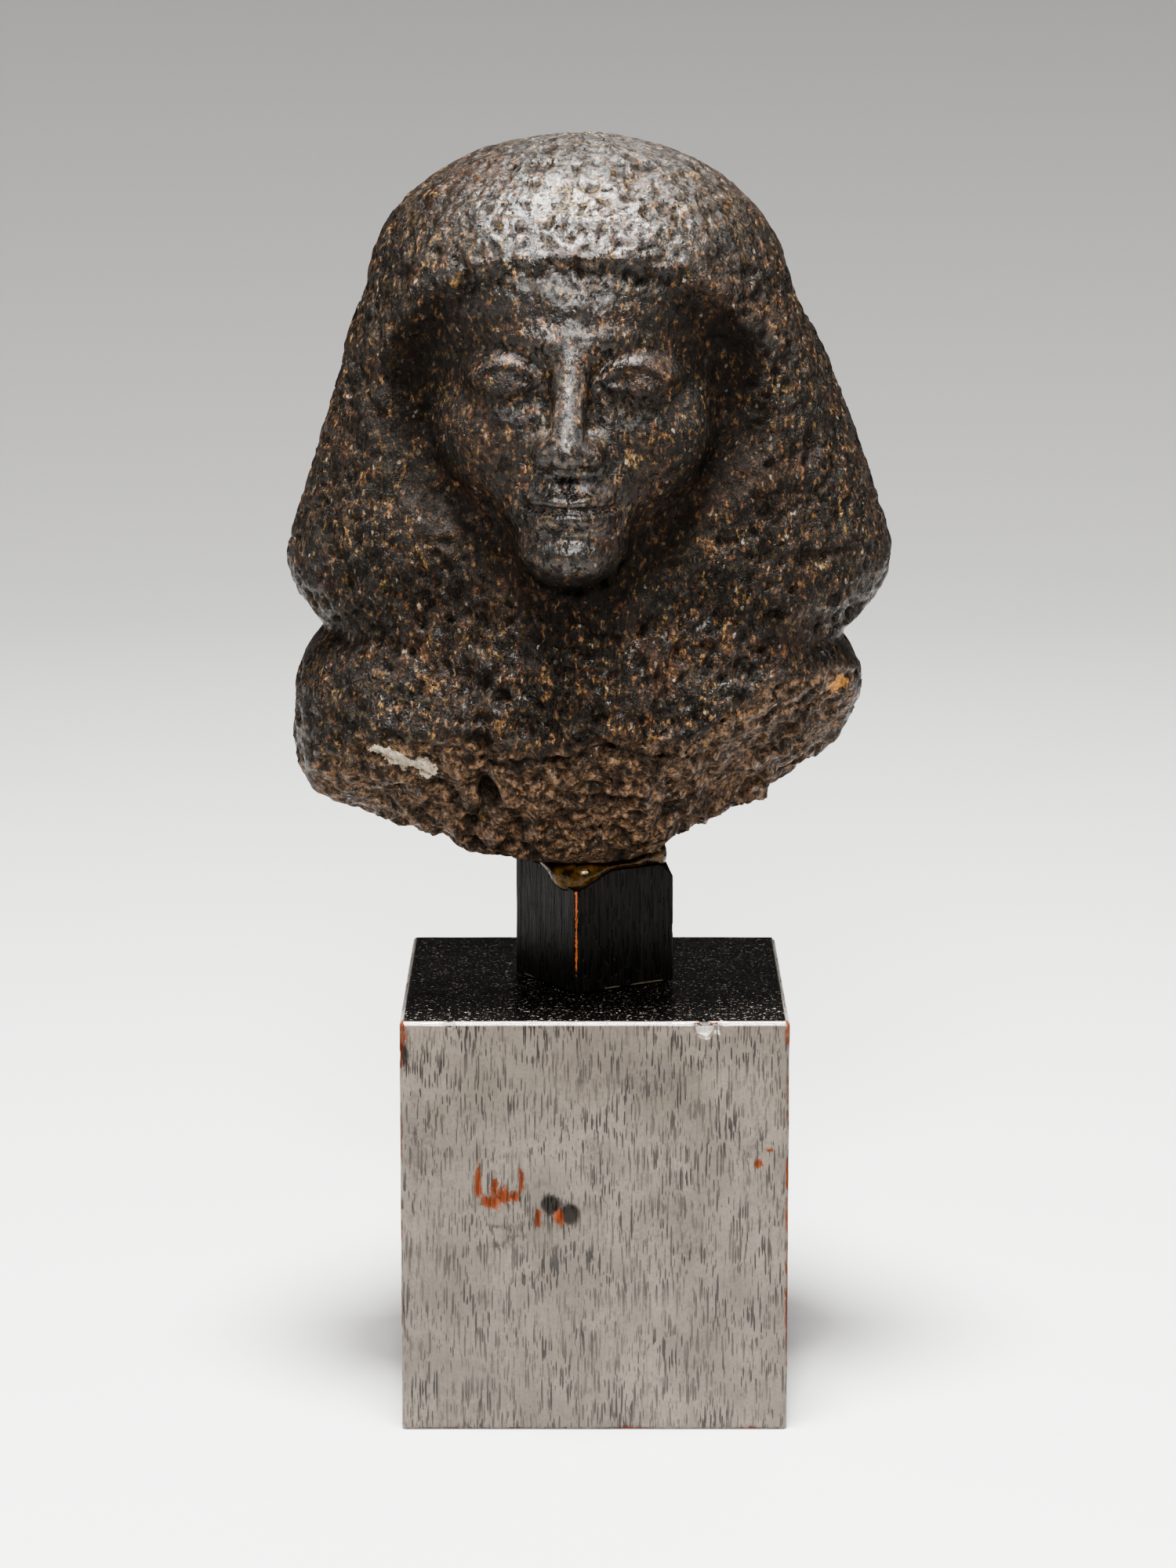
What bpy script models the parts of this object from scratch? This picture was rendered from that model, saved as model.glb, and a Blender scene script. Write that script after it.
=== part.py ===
"""A granite head in a shoulder-length wig, broken off across the shoulders, bedded in resin on a
square ebonised post that stands on a wooden block.

+Z is up, the face looks along -Y, and the origin is the centre of the block's underside.
Each piece stands on the one below it: block, post, resin bed, stone.
"""

import math

import bpy
import numpy as np

MM = 0.001

# Wooden block
BLOCK_WIDTH = 90 * MM
BLOCK_DEPTH = 90 * MM
BLOCK_HEIGHT = 98 * MM
BLOCK_ARRIS = 0.9 * MM

# Square post, turned on the block, with a hollow cut in its top and its right corner pared off
POST_SIDE = 27.6 * MM
POST_HEIGHT = 28.6 * MM
POST_TURN = math.radians(32)
POST_ARRIS = 0.8 * MM
POST_HOLLOW = 4.0 * MM
POST_PARING = 3.2 * MM

# Resin bed between post and stone: its thinnest place, and how far it is squeezed out
RESIN_THICKNESS = 1.6 * MM
RESIN_OVERHANG = 0.6 * MM

# Clearance that separates each piece from the one it rests on
SEAM = 0.3 * MM

# Stone, over all. Its carving is laid out in units of a grid, GRID of them from the underside to
# the crown, and then drawn out to these three sizes
STONE_WIDTH = 142.3 * MM
STONE_DEPTH = 108.2 * MM
STONE_HEIGHT = 170 * MM
GRID = 170.0
STONE_COLUMNS = 96
STONE_ROWS = 48

# Heights on the grid. The face is set out by the usual rules: eyes halfway up the head, the nose
# ending halfway from brow to chin, the mouth a third of the way down from nose to chin
CROWN = GRID
CHIN = 70.0
SKULL_TOP = CROWN - 6.0
HEAD = SKULL_TOP - CHIN
EYE_LINE = CHIN + HEAD / 2
BROW_LINE = EYE_LINE + HEAD / 12
NOSE_BASE = (BROW_LINE + CHIN) / 2
MOUTH_LINE = NOSE_BASE - (NOSE_BASE - CHIN) / 3

# Face: half its width, an eye as a fifth of the whole, and the head's place and small turn
FACE_HALF = 35.0
EYE_WIDTH = 2 * FACE_HALF / 5
EYE_OUT = EYE_WIDTH * 1.04
FACE_SHIFT = -2.5
FACE_TURN = math.radians(-4)

# Wig: half its width where the dome ends, its flare, where its hem curls in, and its opening
DOME_BASE = 135.0
DOME_HALF = 48.8
WIG_FLARE = 0.334
WIG_STEP = 2.4
HEM_START = 78.0
HEM_CURL = 0.032
WIG_FRONT = 47.6
WIG_BACK = 48.0
HAIRLINE = 142.5
OPENING_HALF = 38.5
OPENING_MIDDLE = 106.0
OPENING_FOOT = 66.0

# Shoulders and chest
SHOULDER_HALF = 67.0
SHOULDER_LINE = 40.0
CHEST_FRONT = 46.0

# The flats that the break is made of: a point on each, and the way it faces
BREAK_FLATS = (
    ((0, 0, 0), (0, 0, -1)),
    ((-31, 0, 0.8), (-0.34, -0.06, -0.94)),
    ((-70, 0, 18), (-0.78, -0.1, -0.62)),
    ((18, 0, 4), (0.38, 0, -0.92)),
    ((20, -46, 30), (0.59, -0.51, -0.62)),
    ((0, -46, 31), (0, -0.74, -0.67)),
    ((-48, -38, 30), (-0.24, -0.66, -0.71)),
    ((10, 44, 26), (0.1, 0.62, -0.78)),
)

# Rays that find the surface run from a small oval inside the stone to a large one around it
INNER_MIDDLE, INNER_REACH = (-3, 7, 96), (27, 4, 56)
OUTER_MIDDLE, OUTER_REACH = (-3, -2, 82), (96, 88, 96)

# How much closer together the rays are in front and at the face's height, and how far that height
# is above the middle
FRONT_CROWDING = 0.55
FACE_CROWDING = 0.26
FACE_RAISE = math.radians(22)


def soft_min(a, b, reach):
    """Joins two volumes with a fillet of the given reach."""
    share = np.clip(0.5 + 0.5 * (b - a) / reach, 0, 1)
    return b * (1 - share) + a * share - reach * share * (1 - share)


def soft_max(a, b, reach):
    """Keeps what lies in both volumes, with a rounded edge."""
    return -soft_min(-a, -b, reach)


def step(value, low, high):
    """0 below low, 1 above high, smooth between them."""
    share = np.clip((value - low) / (high - low), 0, 1)
    return share * share * (3 - 2 * share)


def bell(value, width):
    """1 at 0, falling off to each side."""
    return np.exp(-((value / width) ** 2))


def egg(x, y, z, centre, radii):
    """Distance from an ellipsoid, negative inside."""
    offsets = (x - centre[0], y - centre[1], z - centre[2])
    near = np.sqrt(sum((o / r) ** 2 for o, r in zip(offsets, radii)))
    slope = np.sqrt(sum((o / r**2) ** 2 for o, r in zip(offsets, radii))) + 1e-9
    return near * (near - 1) / slope


def bar(x, y, z, start, end, start_radius, end_radius):
    """Distance from a round bar that runs from start to end and changes radius on the way."""
    axis = np.subtract(end, start)
    along = sum((value - s) * a for value, s, a in zip((x, y, z), start, axis)) / (axis @ axis)
    along = np.clip(along, 0, 1)
    gaps = [value - (s + along * a) for value, s, a in zip((x, y, z), start, axis)]
    return np.sqrt(sum(g * g for g in gaps)) - (start_radius + along * (end_radius - start_radius))


def lattice_value(column, row, layer, seed):
    """A fixed scattered number from -1 to 1 for each point of a lattice."""
    mixed = column * 374761393 + row * 668265263 + layer * 974634777 + seed * 362437
    mixed = (mixed ^ (mixed >> 13)) & 0x7FFFFFFF
    mixed = (mixed * 1274126177) & 0x7FFFFFFF
    mixed = (mixed ^ (mixed >> 16)) & 0xFFFF
    return mixed / 32767.5 - 1


def lumps(x, y, z, size, seed):
    """Smooth lumps and hollows of about the given size, from -1 to 1."""
    scaled = [np.asarray(value, float) / size for value in (x, y, z)]
    whole = [np.floor(value).astype(np.int64) for value in scaled]
    blend = [step(value - floor, 0, 1) for value, floor in zip(scaled, whole)]
    total = 0
    for corner in range(8):
        shift = (corner & 1, corner >> 1 & 1, corner >> 2 & 1)
        weight = 1
        for share, far in zip(blend, shift):
            weight = weight * (share if far else 1 - share)
        total = total + weight * lattice_value(*[w + s for w, s in zip(whole, shift)], seed)
    return total


def shaft(x, y, middle, half_width, front, back, squareness):
    """Distance from an upright shaft with a rounded plan, as deep in front and behind as given."""
    depth = np.where(y < 0, front, back)
    across = np.abs(x - middle) / half_width
    along = np.abs(y) / depth
    plan = (across**squareness + along**squareness) ** (1 / squareness)
    return (plan - 1) * np.minimum(half_width, depth)


def wig_shell(x, y, z):
    """The wig's outer mass: a dome on sides that flare downwards to a hem that curls in."""
    drop = np.maximum(DOME_BASE - z, 0)
    flare = WIG_FLARE * drop + WIG_STEP * step(DOME_BASE - z, -8, 14)
    curl = HEM_CURL * np.maximum(HEM_START - z, 0) ** 2
    half_width = np.maximum(DOME_HALF + flare - curl, 5)
    front = np.maximum(WIG_FRONT - 5.5 * step(DOME_BASE - z, -4, 55) - 0.1 * curl, 5)
    back = np.maximum(WIG_BACK + 2 * step(DOME_BASE - z, -4, 55) - 0.6 * curl, 5)
    middle = -1.4 - 2.6 * step(z, 95, 150)
    depth = np.where(y < 0, front, back)
    across = np.abs((x - middle) / half_width)
    plan = (across**2.3 + np.abs(y / depth) ** 2.3) ** (1 / 2.3)
    rise = np.maximum(z - DOME_BASE, 0) / (CROWN - DOME_BASE)
    return (np.sqrt(plan**2 + rise**2) - 1) * WIG_FRONT


def face_place(x, y):
    """Plan coordinates measured from the head's own middle line, with its turn taken out."""
    across = (x - FACE_SHIFT) * math.cos(FACE_TURN) + y * math.sin(FACE_TURN)
    along = y * math.cos(FACE_TURN) - (x - FACE_SHIFT) * math.sin(FACE_TURN)
    return across, along


def opening_edge(x, y, z):
    """Distance outside the line that the wig leaves for the face, square above and pointed below."""
    across = np.abs(face_place(x, y)[0]) / OPENING_HALF
    up = np.maximum(z - OPENING_MIDDLE, 0) / (HAIRLINE - OPENING_MIDDLE)
    down = np.maximum(OPENING_MIDDLE - z, 0) / (OPENING_MIDDLE - OPENING_FOOT)
    above = (across**2.7 + up**2.7) ** (1 / 2.7)
    below = (across**1.4 + down**1.4) ** (1 / 1.4)
    return (np.where(z > OPENING_MIDDLE, above, below) - 1) * OPENING_HALF


def wig(x, y, z):
    """The wig, sunk where the face comes through: sharply at the brow, in a soft channel beside it."""
    edge = opening_edge(x, y, z)
    at_brow = step(z, HAIRLINE - 24, HAIRLINE - 6)
    at_front = step(-y, 2, 16)
    wall = 15 - 9.5 * at_brow
    depth = 7 - 4.8 * at_brow - 2.5 * (1 - step(z, 62, 90))
    sunk = depth * at_front * (1 - step(edge, -0.4 * wall, 0.6 * wall))
    neckline = 4.5 * bell(x - FACE_SHIFT, 20) * bell(z - 62, 17) * at_front
    return wig_shell(x, y, z) + sunk + neckline


def lid_relief(x, z):
    """Raised rims around both eyes."""
    relief = 0
    for side in (-1, 1):
        across = (x * side - EYE_OUT) / (0.56 * EYE_WIDTH)
        above = (z - EYE_LINE) / (0.56 * EYE_WIDTH)
        arch = 1 - across**2
        within = 1 - step(np.abs(across), 0.8, 1.25)
        upper = bell(above - 0.52 * arch, 0.19)
        lower = bell(above + 0.36 * arch, 0.17)
        relief = relief + within * (1.1 * upper + 0.7 * lower)
    return relief


def brow_relief(x, z):
    """Two low arches over the eyes, which meet the nose."""
    across = np.abs(x) / (1.9 * EYE_WIDTH)
    arch = BROW_LINE - 0.5 + 2.5 * np.sin(np.clip(across, 0, 1) * math.pi)
    return 0.9 * bell(z - arch, 3.0) * step(np.abs(x), 2, 6) * (1 - step(across, 0.8, 1.1))


def lip_relief(x, z):
    """Two full lips, parted by a level line that ends in soft corners, with a dip above them."""
    half = 0.76 * EYE_WIDTH
    across = np.abs(x) / half
    full = np.sqrt(np.maximum(1 - across**2, 0))
    upper = bell(z - MOUTH_LINE - 1.9 + 0.5 * bell(x, 2), 1.8) * full
    lower = bell(z - MOUTH_LINE + 2.5, 2.2) * full
    line = bell(z - MOUTH_LINE, 0.6) * (1 - step(across, 0.9, 1.1))
    corner = bell(np.abs(x) - half, 1.7) * bell(z - MOUTH_LINE, 1.9)
    under = bell(z - MOUTH_LINE + 7, 2.3) * bell(x, 8)
    groove = bell(x, 1.6) * step(z, MOUTH_LINE + 3, MOUTH_LINE + 5) * (1 - step(z, NOSE_BASE - 3, NOSE_BASE))
    return 1.6 * upper + 1.8 * lower - 1.4 * line - 0.8 * corner - 0.8 * under - 0.5 * groove


def nose(x, y, z):
    """A straight nose with rounded wings."""
    solid = bar(x, y, z, (0, -44, BROW_LINE), (0, -54, NOSE_BASE + 4.3), 2.8, 4.4)
    for side in (-1, 1):
        wing = egg(x, y, z, (side * 0.34 * EYE_WIDTH, -49.8, NOSE_BASE + 3.2), (3.3, 5.6, 3.7))
        solid = soft_min(solid, wing, 2)
    return soft_max(solid, NOSE_BASE - z, 1.5)


def face(x, y, z):
    """The face, blocked out in plain masses, with eyes, brows and lips raised on them."""
    x, y = face_place(x, y)
    solid = egg(x, y, z, (0, -6, 125), (FACE_HALF, 41, 43))
    solid = soft_min(solid, egg(x, y, z, (0, -12, 98), (31.5, 33.5, 31)), 8)
    for side in (-1, 1):
        solid = soft_min(solid, egg(x, y, z, (side * 17, -31, 104), (14.5, 13.5, 15)), 6)
    solid = soft_min(solid, egg(x, y, z, (0, -35, MOUTH_LINE + 2), (15.5, 14, 12.5)), 5)
    solid = soft_min(solid, egg(x, y, z, (0, -37, CHIN + 7.5), (13, 11.5, 8.5)), 6)
    for side in (-1, 1):
        hollow = egg(x, y, z, (side * EYE_OUT, -51.5, EYE_LINE + 0.5), (11.5, 7.5, 7.5))
        solid = soft_max(solid, -hollow, 5)
        ball = egg(x, y, z, (side * EYE_OUT, -36.5, EYE_LINE), (10.5, 9.6, 7.4))
        solid = soft_min(solid, ball, 2)
    solid = soft_min(solid, nose(x, y, z), 4.5)
    for side in (-1, 1):
        nostril = egg(x, y, z, (side * 2.9, -52, NOSE_BASE - 0.4), (1.7, 2.6, 1.6))
        solid = soft_max(solid, -nostril, 0.8)
    return solid - step(-y, 30, 40) * (lid_relief(x, z) + brow_relief(x, z) + lip_relief(x, z))


def body(x, y, z):
    """Neck, chest and shoulders, as one mass under the wig."""
    above = np.maximum(z - SHOULDER_LINE, 0)
    below = np.maximum(SHOULDER_LINE - z, 0)
    half_width = SHOULDER_HALF * np.sqrt(np.maximum(1 - (above / 33) ** 2, 0.05)) - 0.004 * below**2
    front = CHEST_FRONT * np.sqrt(np.maximum(1 - (np.maximum(z - 28, 0) / 60) ** 2, 0.1))
    back = 43 * np.sqrt(np.maximum(1 - (np.maximum(z - 30, 0) / 60) ** 2, 0.1))
    torso = shaft(x, y, -3.4 - 0.07 * below, half_width, front, back, 2.5)
    torso = soft_max(torso, z - 80, 6)
    neck = bar(x, y, z, (FACE_SHIFT, -6, 45), (FACE_SHIFT, -8, 90), 27, 25)
    return soft_min(torso, neck, 9)


def beyond_break(x, y, z):
    """Distance beyond the flats of the break."""
    beyond = None
    for through, facing in BREAK_FLATS:
        facing = np.divide(facing, np.linalg.norm(facing))
        flat = sum((value - at) * way for value, at, way in zip((x, y, z), through, facing))
        beyond = flat if beyond is None else soft_max(beyond, flat, 4)
    return beyond


def stone_field(x, y, z):
    """Distance from the whole stone, negative inside it."""
    whole = soft_min(wig(x, y, z), body(x, y, z), 3 + 5 * step(-y, 10, 36))
    whole = soft_min(whole, face(x, y, z), 4)
    beyond = beyond_break(x, y, z)
    off_seat = step(np.hypot(x, y), 26, 38)
    at_break = 1 - step(-beyond, 0, 10)
    swell = (0.4 + 1.2 * at_break) * (1 - (1 - off_seat) * at_break)
    whole = soft_max(whole, beyond, 3)
    return whole + swell * lumps(x, y, z, 13, 3) + 0.4 * swell * lumps(x, y, z, 6, 7)


def oval(turn, fall, middle, reach):
    """Points of an oval, by the angle around it from the front and the angle down from its top."""
    way = np.stack([np.sin(turn) * np.sin(fall), -np.cos(turn) * np.sin(fall), np.cos(fall)], axis=-1)
    return np.array(middle) + way * np.array(reach)


def stone_points(columns, rows):
    """Points of the stone's surface on a grid around it, closer together in front, then its two poles."""
    turn = np.arange(columns) * 2 * math.pi / columns
    turn = turn - FRONT_CROWDING * np.sin(turn)
    fall = np.arange(1, rows) * math.pi / rows
    fall = fall + FACE_CROWDING * (np.sin(2 * fall + FACE_RAISE) - math.sin(FACE_RAISE))
    turn, fall = np.meshgrid(turn, fall)
    turn = np.append(turn.ravel(), [0, 0])
    fall = np.append(fall.ravel(), [0, math.pi])
    start = oval(turn, fall, INNER_MIDDLE, INNER_REACH)
    way = oval(turn, fall, OUTER_MIDDLE, OUTER_REACH) - start
    share = np.ones(len(way))
    stride = 0.02
    outside = np.ones(len(way), bool)
    while outside.any():
        share[outside] -= stride
        field = stone_field(*(start + way * share[:, None]).T)
        outside = outside & (field > 0) & (share > 0)
    low, high = share, share + stride
    for _ in range(12):
        middle = (low + high) / 2
        inside = stone_field(*(start + way * middle[:, None]).T) < 0
        low = np.where(inside, middle, low)
        high = np.where(inside, high, middle)
    return start + way * ((low + high) / 2)[:, None]


def ring_faces(points, rings, count):
    """Triangles between neighbouring closed rings of points, each four points split the short way."""
    index = np.arange(rings * count).reshape(rings, count)
    after = np.roll(index, -1, axis=1)
    fours = np.stack([index[:-1], index[1:], after[1:], after[:-1]], axis=-1).reshape(-1, 4)
    one, two, three, four = (points[fours[:, corner]] for corner in range(4))
    short = np.linalg.norm(one - three, axis=1) <= np.linalg.norm(two - four, axis=1) + SEAM / 100
    first = np.where(short[:, None], fours[:, [0, 1, 2]], fours[:, [1, 2, 3]])
    second = np.where(short[:, None], fours[:, [0, 2, 3]], fours[:, [1, 3, 0]])
    return np.concatenate([first, second]).tolist()


def fan(ring_start, count, tip):
    """Triangles from a ring of points to one point."""
    return [(tip, ring_start + i, ring_start + (i + 1) % count) for i in range(count)]


def flipped(faces):
    """The same faces, facing the other way."""
    return [tuple(reversed(face)) for face in faces]


def shifted(faces, amount):
    """The same faces, with every index raised."""
    return [tuple(index + amount for index in face) for face in faces]


def material(name, colour, roughness):
    """A plain finish in one colour."""
    made = bpy.data.materials.new(name)
    made.use_nodes = True
    shader = made.node_tree.nodes["Principled BSDF"]
    shader.inputs["Base Color"].default_value = (*colour, 1)
    shader.inputs["Roughness"].default_value = roughness
    shader.inputs["Metallic"].default_value = 0
    return made


def mesh_object(name, points, faces, finish):
    """One named object, shaded smooth except at its sharp edges."""
    mesh = bpy.data.meshes.new(name)
    mesh.from_pydata(np.asarray(points).tolist(), [], faces)
    mesh.update()
    mesh.shade_smooth()
    mesh.set_sharp_from_angle(angle=math.radians(35))
    mesh.materials.append(finish)
    made = bpy.data.objects.new(name, mesh)
    bpy.context.scene.collection.objects.link(made)
    return made


def post_outline(side):
    """The post's plan, a square with eased corners, turned as the post is."""
    along = np.linspace(-0.5, 0.5, 9)[:-1] * (side - 2 * POST_ARRIS)
    along = np.append(along, side / 2 - POST_ARRIS)
    edge = np.column_stack([np.full(len(along), side / 2), along])
    outline = []
    for quarter in range(4):
        turn = POST_TURN + quarter * math.pi / 2
        c, s = math.cos(turn), math.sin(turn)
        outline.append(edge @ np.array([[c, s], [-s, c]]))
    return np.concatenate(outline)


def post_rings():
    """Rings of plan points that cover the post, from its outline inwards."""
    outline = post_outline(POST_SIDE)
    return [outline * share for share in (1, 0.8, 0.6, 0.4, 0.2)]


def slab(name, rings, low, high, finish):
    """A solid between two surfaces, whose heights low and high give over rings of plan points."""
    plan = np.concatenate(rings + [np.zeros((1, 2))])
    count = len(rings[0])
    under = len(plan)
    middle = under - 1
    top = flipped(ring_faces(plan, len(rings), count)) + fan((len(rings) - 1) * count, count, middle)
    wall = [(i, (i + 1) % count, under + (i + 1) % count, under + i) for i in range(count)]
    faces = top + shifted(flipped(top), under) + flipped(wall)
    points = np.concatenate([np.column_stack([plan, high(plan)]), np.column_stack([plan, low(plan)])])
    return mesh_object(name, points, faces, finish)


def post_foot():
    """Height of the post's underside."""
    return BLOCK_HEIGHT + SEAM


def stone_foot():
    """Height of the stone's underside, from which its grid is measured."""
    return post_foot() + POST_HEIGHT + RESIN_THICKNESS


def post_top(plan):
    """Height of the post's top: hollowed towards the front corner, and pared at the right one."""
    corner = POST_SIDE / math.sqrt(2)
    front = np.array([math.sin(POST_TURN - math.pi / 4), -math.cos(POST_TURN - math.pi / 4)]) * corner
    right = np.array([math.cos(POST_TURN - math.pi / 4), math.sin(POST_TURN - math.pi / 4)]) * corner
    hollow = 1 - step(np.linalg.norm(plan - front, axis=1), 0, 0.42 * POST_SIDE)
    paring = 1 - step(np.linalg.norm(plan - right, axis=1), 0, 0.16 * POST_SIDE)
    return post_foot() + POST_HEIGHT - POST_HOLLOW * hollow - POST_PARING * paring


def stone_units(carving):
    """Real size of one grid unit in width, depth and height, from the span of the carved points."""
    return np.array([STONE_WIDTH, STONE_DEPTH, STONE_HEIGHT]) / np.ptp(carving, axis=0)


def stone_underside(plan, units):
    """Height of the stone's underside over the post, as the highest of the break's flats there."""
    heights = []
    for through, facing in BREAK_FLATS:
        slant = (plan / units[:2] - np.array(through[:2])) @ np.array(facing[:2])
        heights.append(through[2] - slant / facing[2])
    return stone_foot() + np.max(heights, axis=0) * units[2]


def make_block():
    """The block, with worn arrises."""
    bpy.ops.mesh.primitive_cube_add(size=1, location=(0, 0, BLOCK_HEIGHT / 2))
    made = bpy.context.object
    made.name = "base_block"
    made.scale = (BLOCK_WIDTH, BLOCK_DEPTH, BLOCK_HEIGHT)
    bpy.ops.object.transform_apply(location=False, rotation=False, scale=True)
    worn = made.modifiers.new("worn arrises", "BEVEL")
    worn.width = BLOCK_ARRIS
    worn.segments = 2
    made.data.materials.append(material("ebonised block", (0.06, 0.05, 0.045), 0.4))
    return made


def make_post():
    """The post, standing on the middle of the block."""
    finish = material("ebonised post", (0.02, 0.018, 0.016), 0.45)
    return slab("mount_post", post_rings(), lambda plan: np.full(len(plan), post_foot()), post_top, finish)


def make_resin(units):
    """The resin that beds the stone, squeezed a little past the post's sides."""
    rings = [post_outline(POST_SIDE + 2 * RESIN_OVERHANG)] + post_rings()
    finish = material("amber resin", (0.16, 0.09, 0.035), 0.25)
    return slab(
        "resin_bed",
        rings,
        lambda plan: post_top(plan) + SEAM,
        lambda plan: stone_underside(plan, units) - SEAM,
        finish,
    )


def make_stone(carving, units):
    """The carved stone, one solid from crown to break."""
    rings = STONE_ROWS - 1
    points = carving * units
    points[:, 2] += stone_foot()
    crown, foot = rings * STONE_COLUMNS, rings * STONE_COLUMNS + 1
    faces = ring_faces(points, rings, STONE_COLUMNS) + fan(0, STONE_COLUMNS, crown)
    faces += flipped(fan((rings - 1) * STONE_COLUMNS, STONE_COLUMNS, foot))
    finish = material("dark granite", (0.09, 0.07, 0.055), 0.4)
    return mesh_object("granite_head", points, faces, finish)


def main():
    for old in list(bpy.data.objects):
        bpy.data.objects.remove(old)
    carving = stone_points(STONE_COLUMNS, STONE_ROWS)
    units = stone_units(carving)
    make_block()
    make_post()
    make_resin(units)
    make_stone(carving, units)


main()
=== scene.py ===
# A worn granite head in a long wig, on its ebonised wooden post and block.
# The fine stone is the solid's own form, worked out again on a close grid and then pitted.

import math

import bpy
import numpy as np
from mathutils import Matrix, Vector


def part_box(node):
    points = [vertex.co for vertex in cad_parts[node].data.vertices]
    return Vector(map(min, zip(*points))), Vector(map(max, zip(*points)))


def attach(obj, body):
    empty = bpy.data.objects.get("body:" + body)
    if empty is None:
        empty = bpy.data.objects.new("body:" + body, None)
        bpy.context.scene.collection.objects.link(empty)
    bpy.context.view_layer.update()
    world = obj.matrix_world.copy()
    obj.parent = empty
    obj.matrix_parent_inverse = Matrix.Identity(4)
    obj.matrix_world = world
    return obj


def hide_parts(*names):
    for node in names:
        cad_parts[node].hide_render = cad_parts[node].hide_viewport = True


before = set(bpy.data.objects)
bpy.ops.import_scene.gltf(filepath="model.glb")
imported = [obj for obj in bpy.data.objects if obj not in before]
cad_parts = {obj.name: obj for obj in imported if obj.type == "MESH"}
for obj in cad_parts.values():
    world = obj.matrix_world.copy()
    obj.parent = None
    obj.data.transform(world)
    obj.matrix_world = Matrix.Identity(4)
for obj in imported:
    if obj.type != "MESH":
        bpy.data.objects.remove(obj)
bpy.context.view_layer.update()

mm = 0.001


# soft joins and ramps

def softMin(a, b, reach):  # the lower of two values, blended where they are within reach
    share = np.clip(0.5 + 0.5 * (b - a) / reach, 0, 1)
    return b * (1 - share) + a * share - reach * share * (1 - share)


def softMax(a, b, reach):  # the higher of two values, blended the same way
    return -softMin(-a, -b, reach)


def ramp(value, low, high):  # 0 below low, 1 above high, three squares less two cubes between
    share = np.clip((value - low) / (high - low), 0, 1)
    return share * share * (3 - 2 * share)


def bell(value, width):  # e to the minus square of value over width
    return np.exp(-((value / width) ** 2))


# fixed scatter: whole numbers mixed into a value from 0 to 1, the same on every run
def scatter(column, row, layer, seed):
    mixed = column * 374761393 + row * 668265263 + layer * 974634777 + seed * 362437
    mixed = (mixed ^ (mixed >> 13)) & 0x7FFFFFFF
    mixed = (mixed * 1274126177) & 0x7FFFFFFF
    mixed = (mixed ^ (mixed >> 16)) & 0xFFFF
    return mixed / 65535


# smooth lumps from -1 to 1: scattered values on a lattice, blended between its corners
def lumps(p, size, seed):
    scaled = p / size
    whole = np.floor(scaled).astype(np.int64)
    blend = ramp(scaled - whole, 0, 1)
    total = np.zeros(len(p))
    for corner in range(8):
        shift = np.array([corner & 1, corner >> 1 & 1, corner >> 2 & 1])
        weight = np.prod(np.where(shift == 1, blend, 1 - blend), axis=1)
        total += weight * (2 * scatter(*(whole + shift).T, seed) - 1)
    return total


# round hollows from 0 to 1: each lattice cell may hold one, deep as its distance falls under its radius
def pits(p, size, seed, chance):
    scaled = p / size
    whole = np.floor(scaled).astype(np.int64)
    deepest = np.zeros(len(p))
    for step in np.ndindex(3, 3, 3):
        cell = whole + np.array(step) - 1
        middle = cell + 0.15 + 0.7 * np.stack([scatter(*cell.T, seed + k) for k in (1, 2, 3)], axis=1)
        radius = 0.25 + 0.5 * scatter(*cell.T, seed + 4)
        there = scatter(*cell.T, seed + 5) < chance
        near = np.linalg.norm(scaled - middle, axis=1) / radius
        deepest = np.maximum(deepest, there * radius * np.clip(1 - near**2, 0, 1))
    return deepest


# the same grid of triangles for every piece: rings of points, closed round, split the short way
def ringTriangles(points, rings, count):
    index = np.arange(rings * count).reshape(rings, count)
    after = np.roll(index, -1, axis=1)
    fours = np.stack([index[:-1], index[1:], after[1:], after[:-1]], axis=-1).reshape(-1, 4)
    one, two, three, four = (points[fours[:, corner]] for corner in range(4))
    short = (np.linalg.norm(one - three, axis=1) <= np.linalg.norm(two - four, axis=1))[:, None]
    first = np.where(short, fours[:, [0, 1, 2]], fours[:, [1, 2, 3]])
    second = np.where(short, fours[:, [0, 2, 3]], fours[:, [1, 3, 0]])
    return np.concatenate([first, second])


# a ring's points joined to one tip, facing the way the rings run
def poleTriangles(ringStart, count, tip, first):
    ring = ringStart + np.arange(count)
    after = np.roll(ring, -1)
    fan = np.stack([np.full(count, tip), ring, after], axis=1)
    return fan if first else fan[:, ::-1]


def closedRings(points, rings, count):  # rings from the first pole to the last, both poles at the end
    last = (rings - 1) * count
    return np.concatenate([
        ringTriangles(points, rings, count),
        poleTriangles(0, count, rings * count, True),
        poleTriangles(last, count, rings * count + 1, False),
    ])


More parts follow.
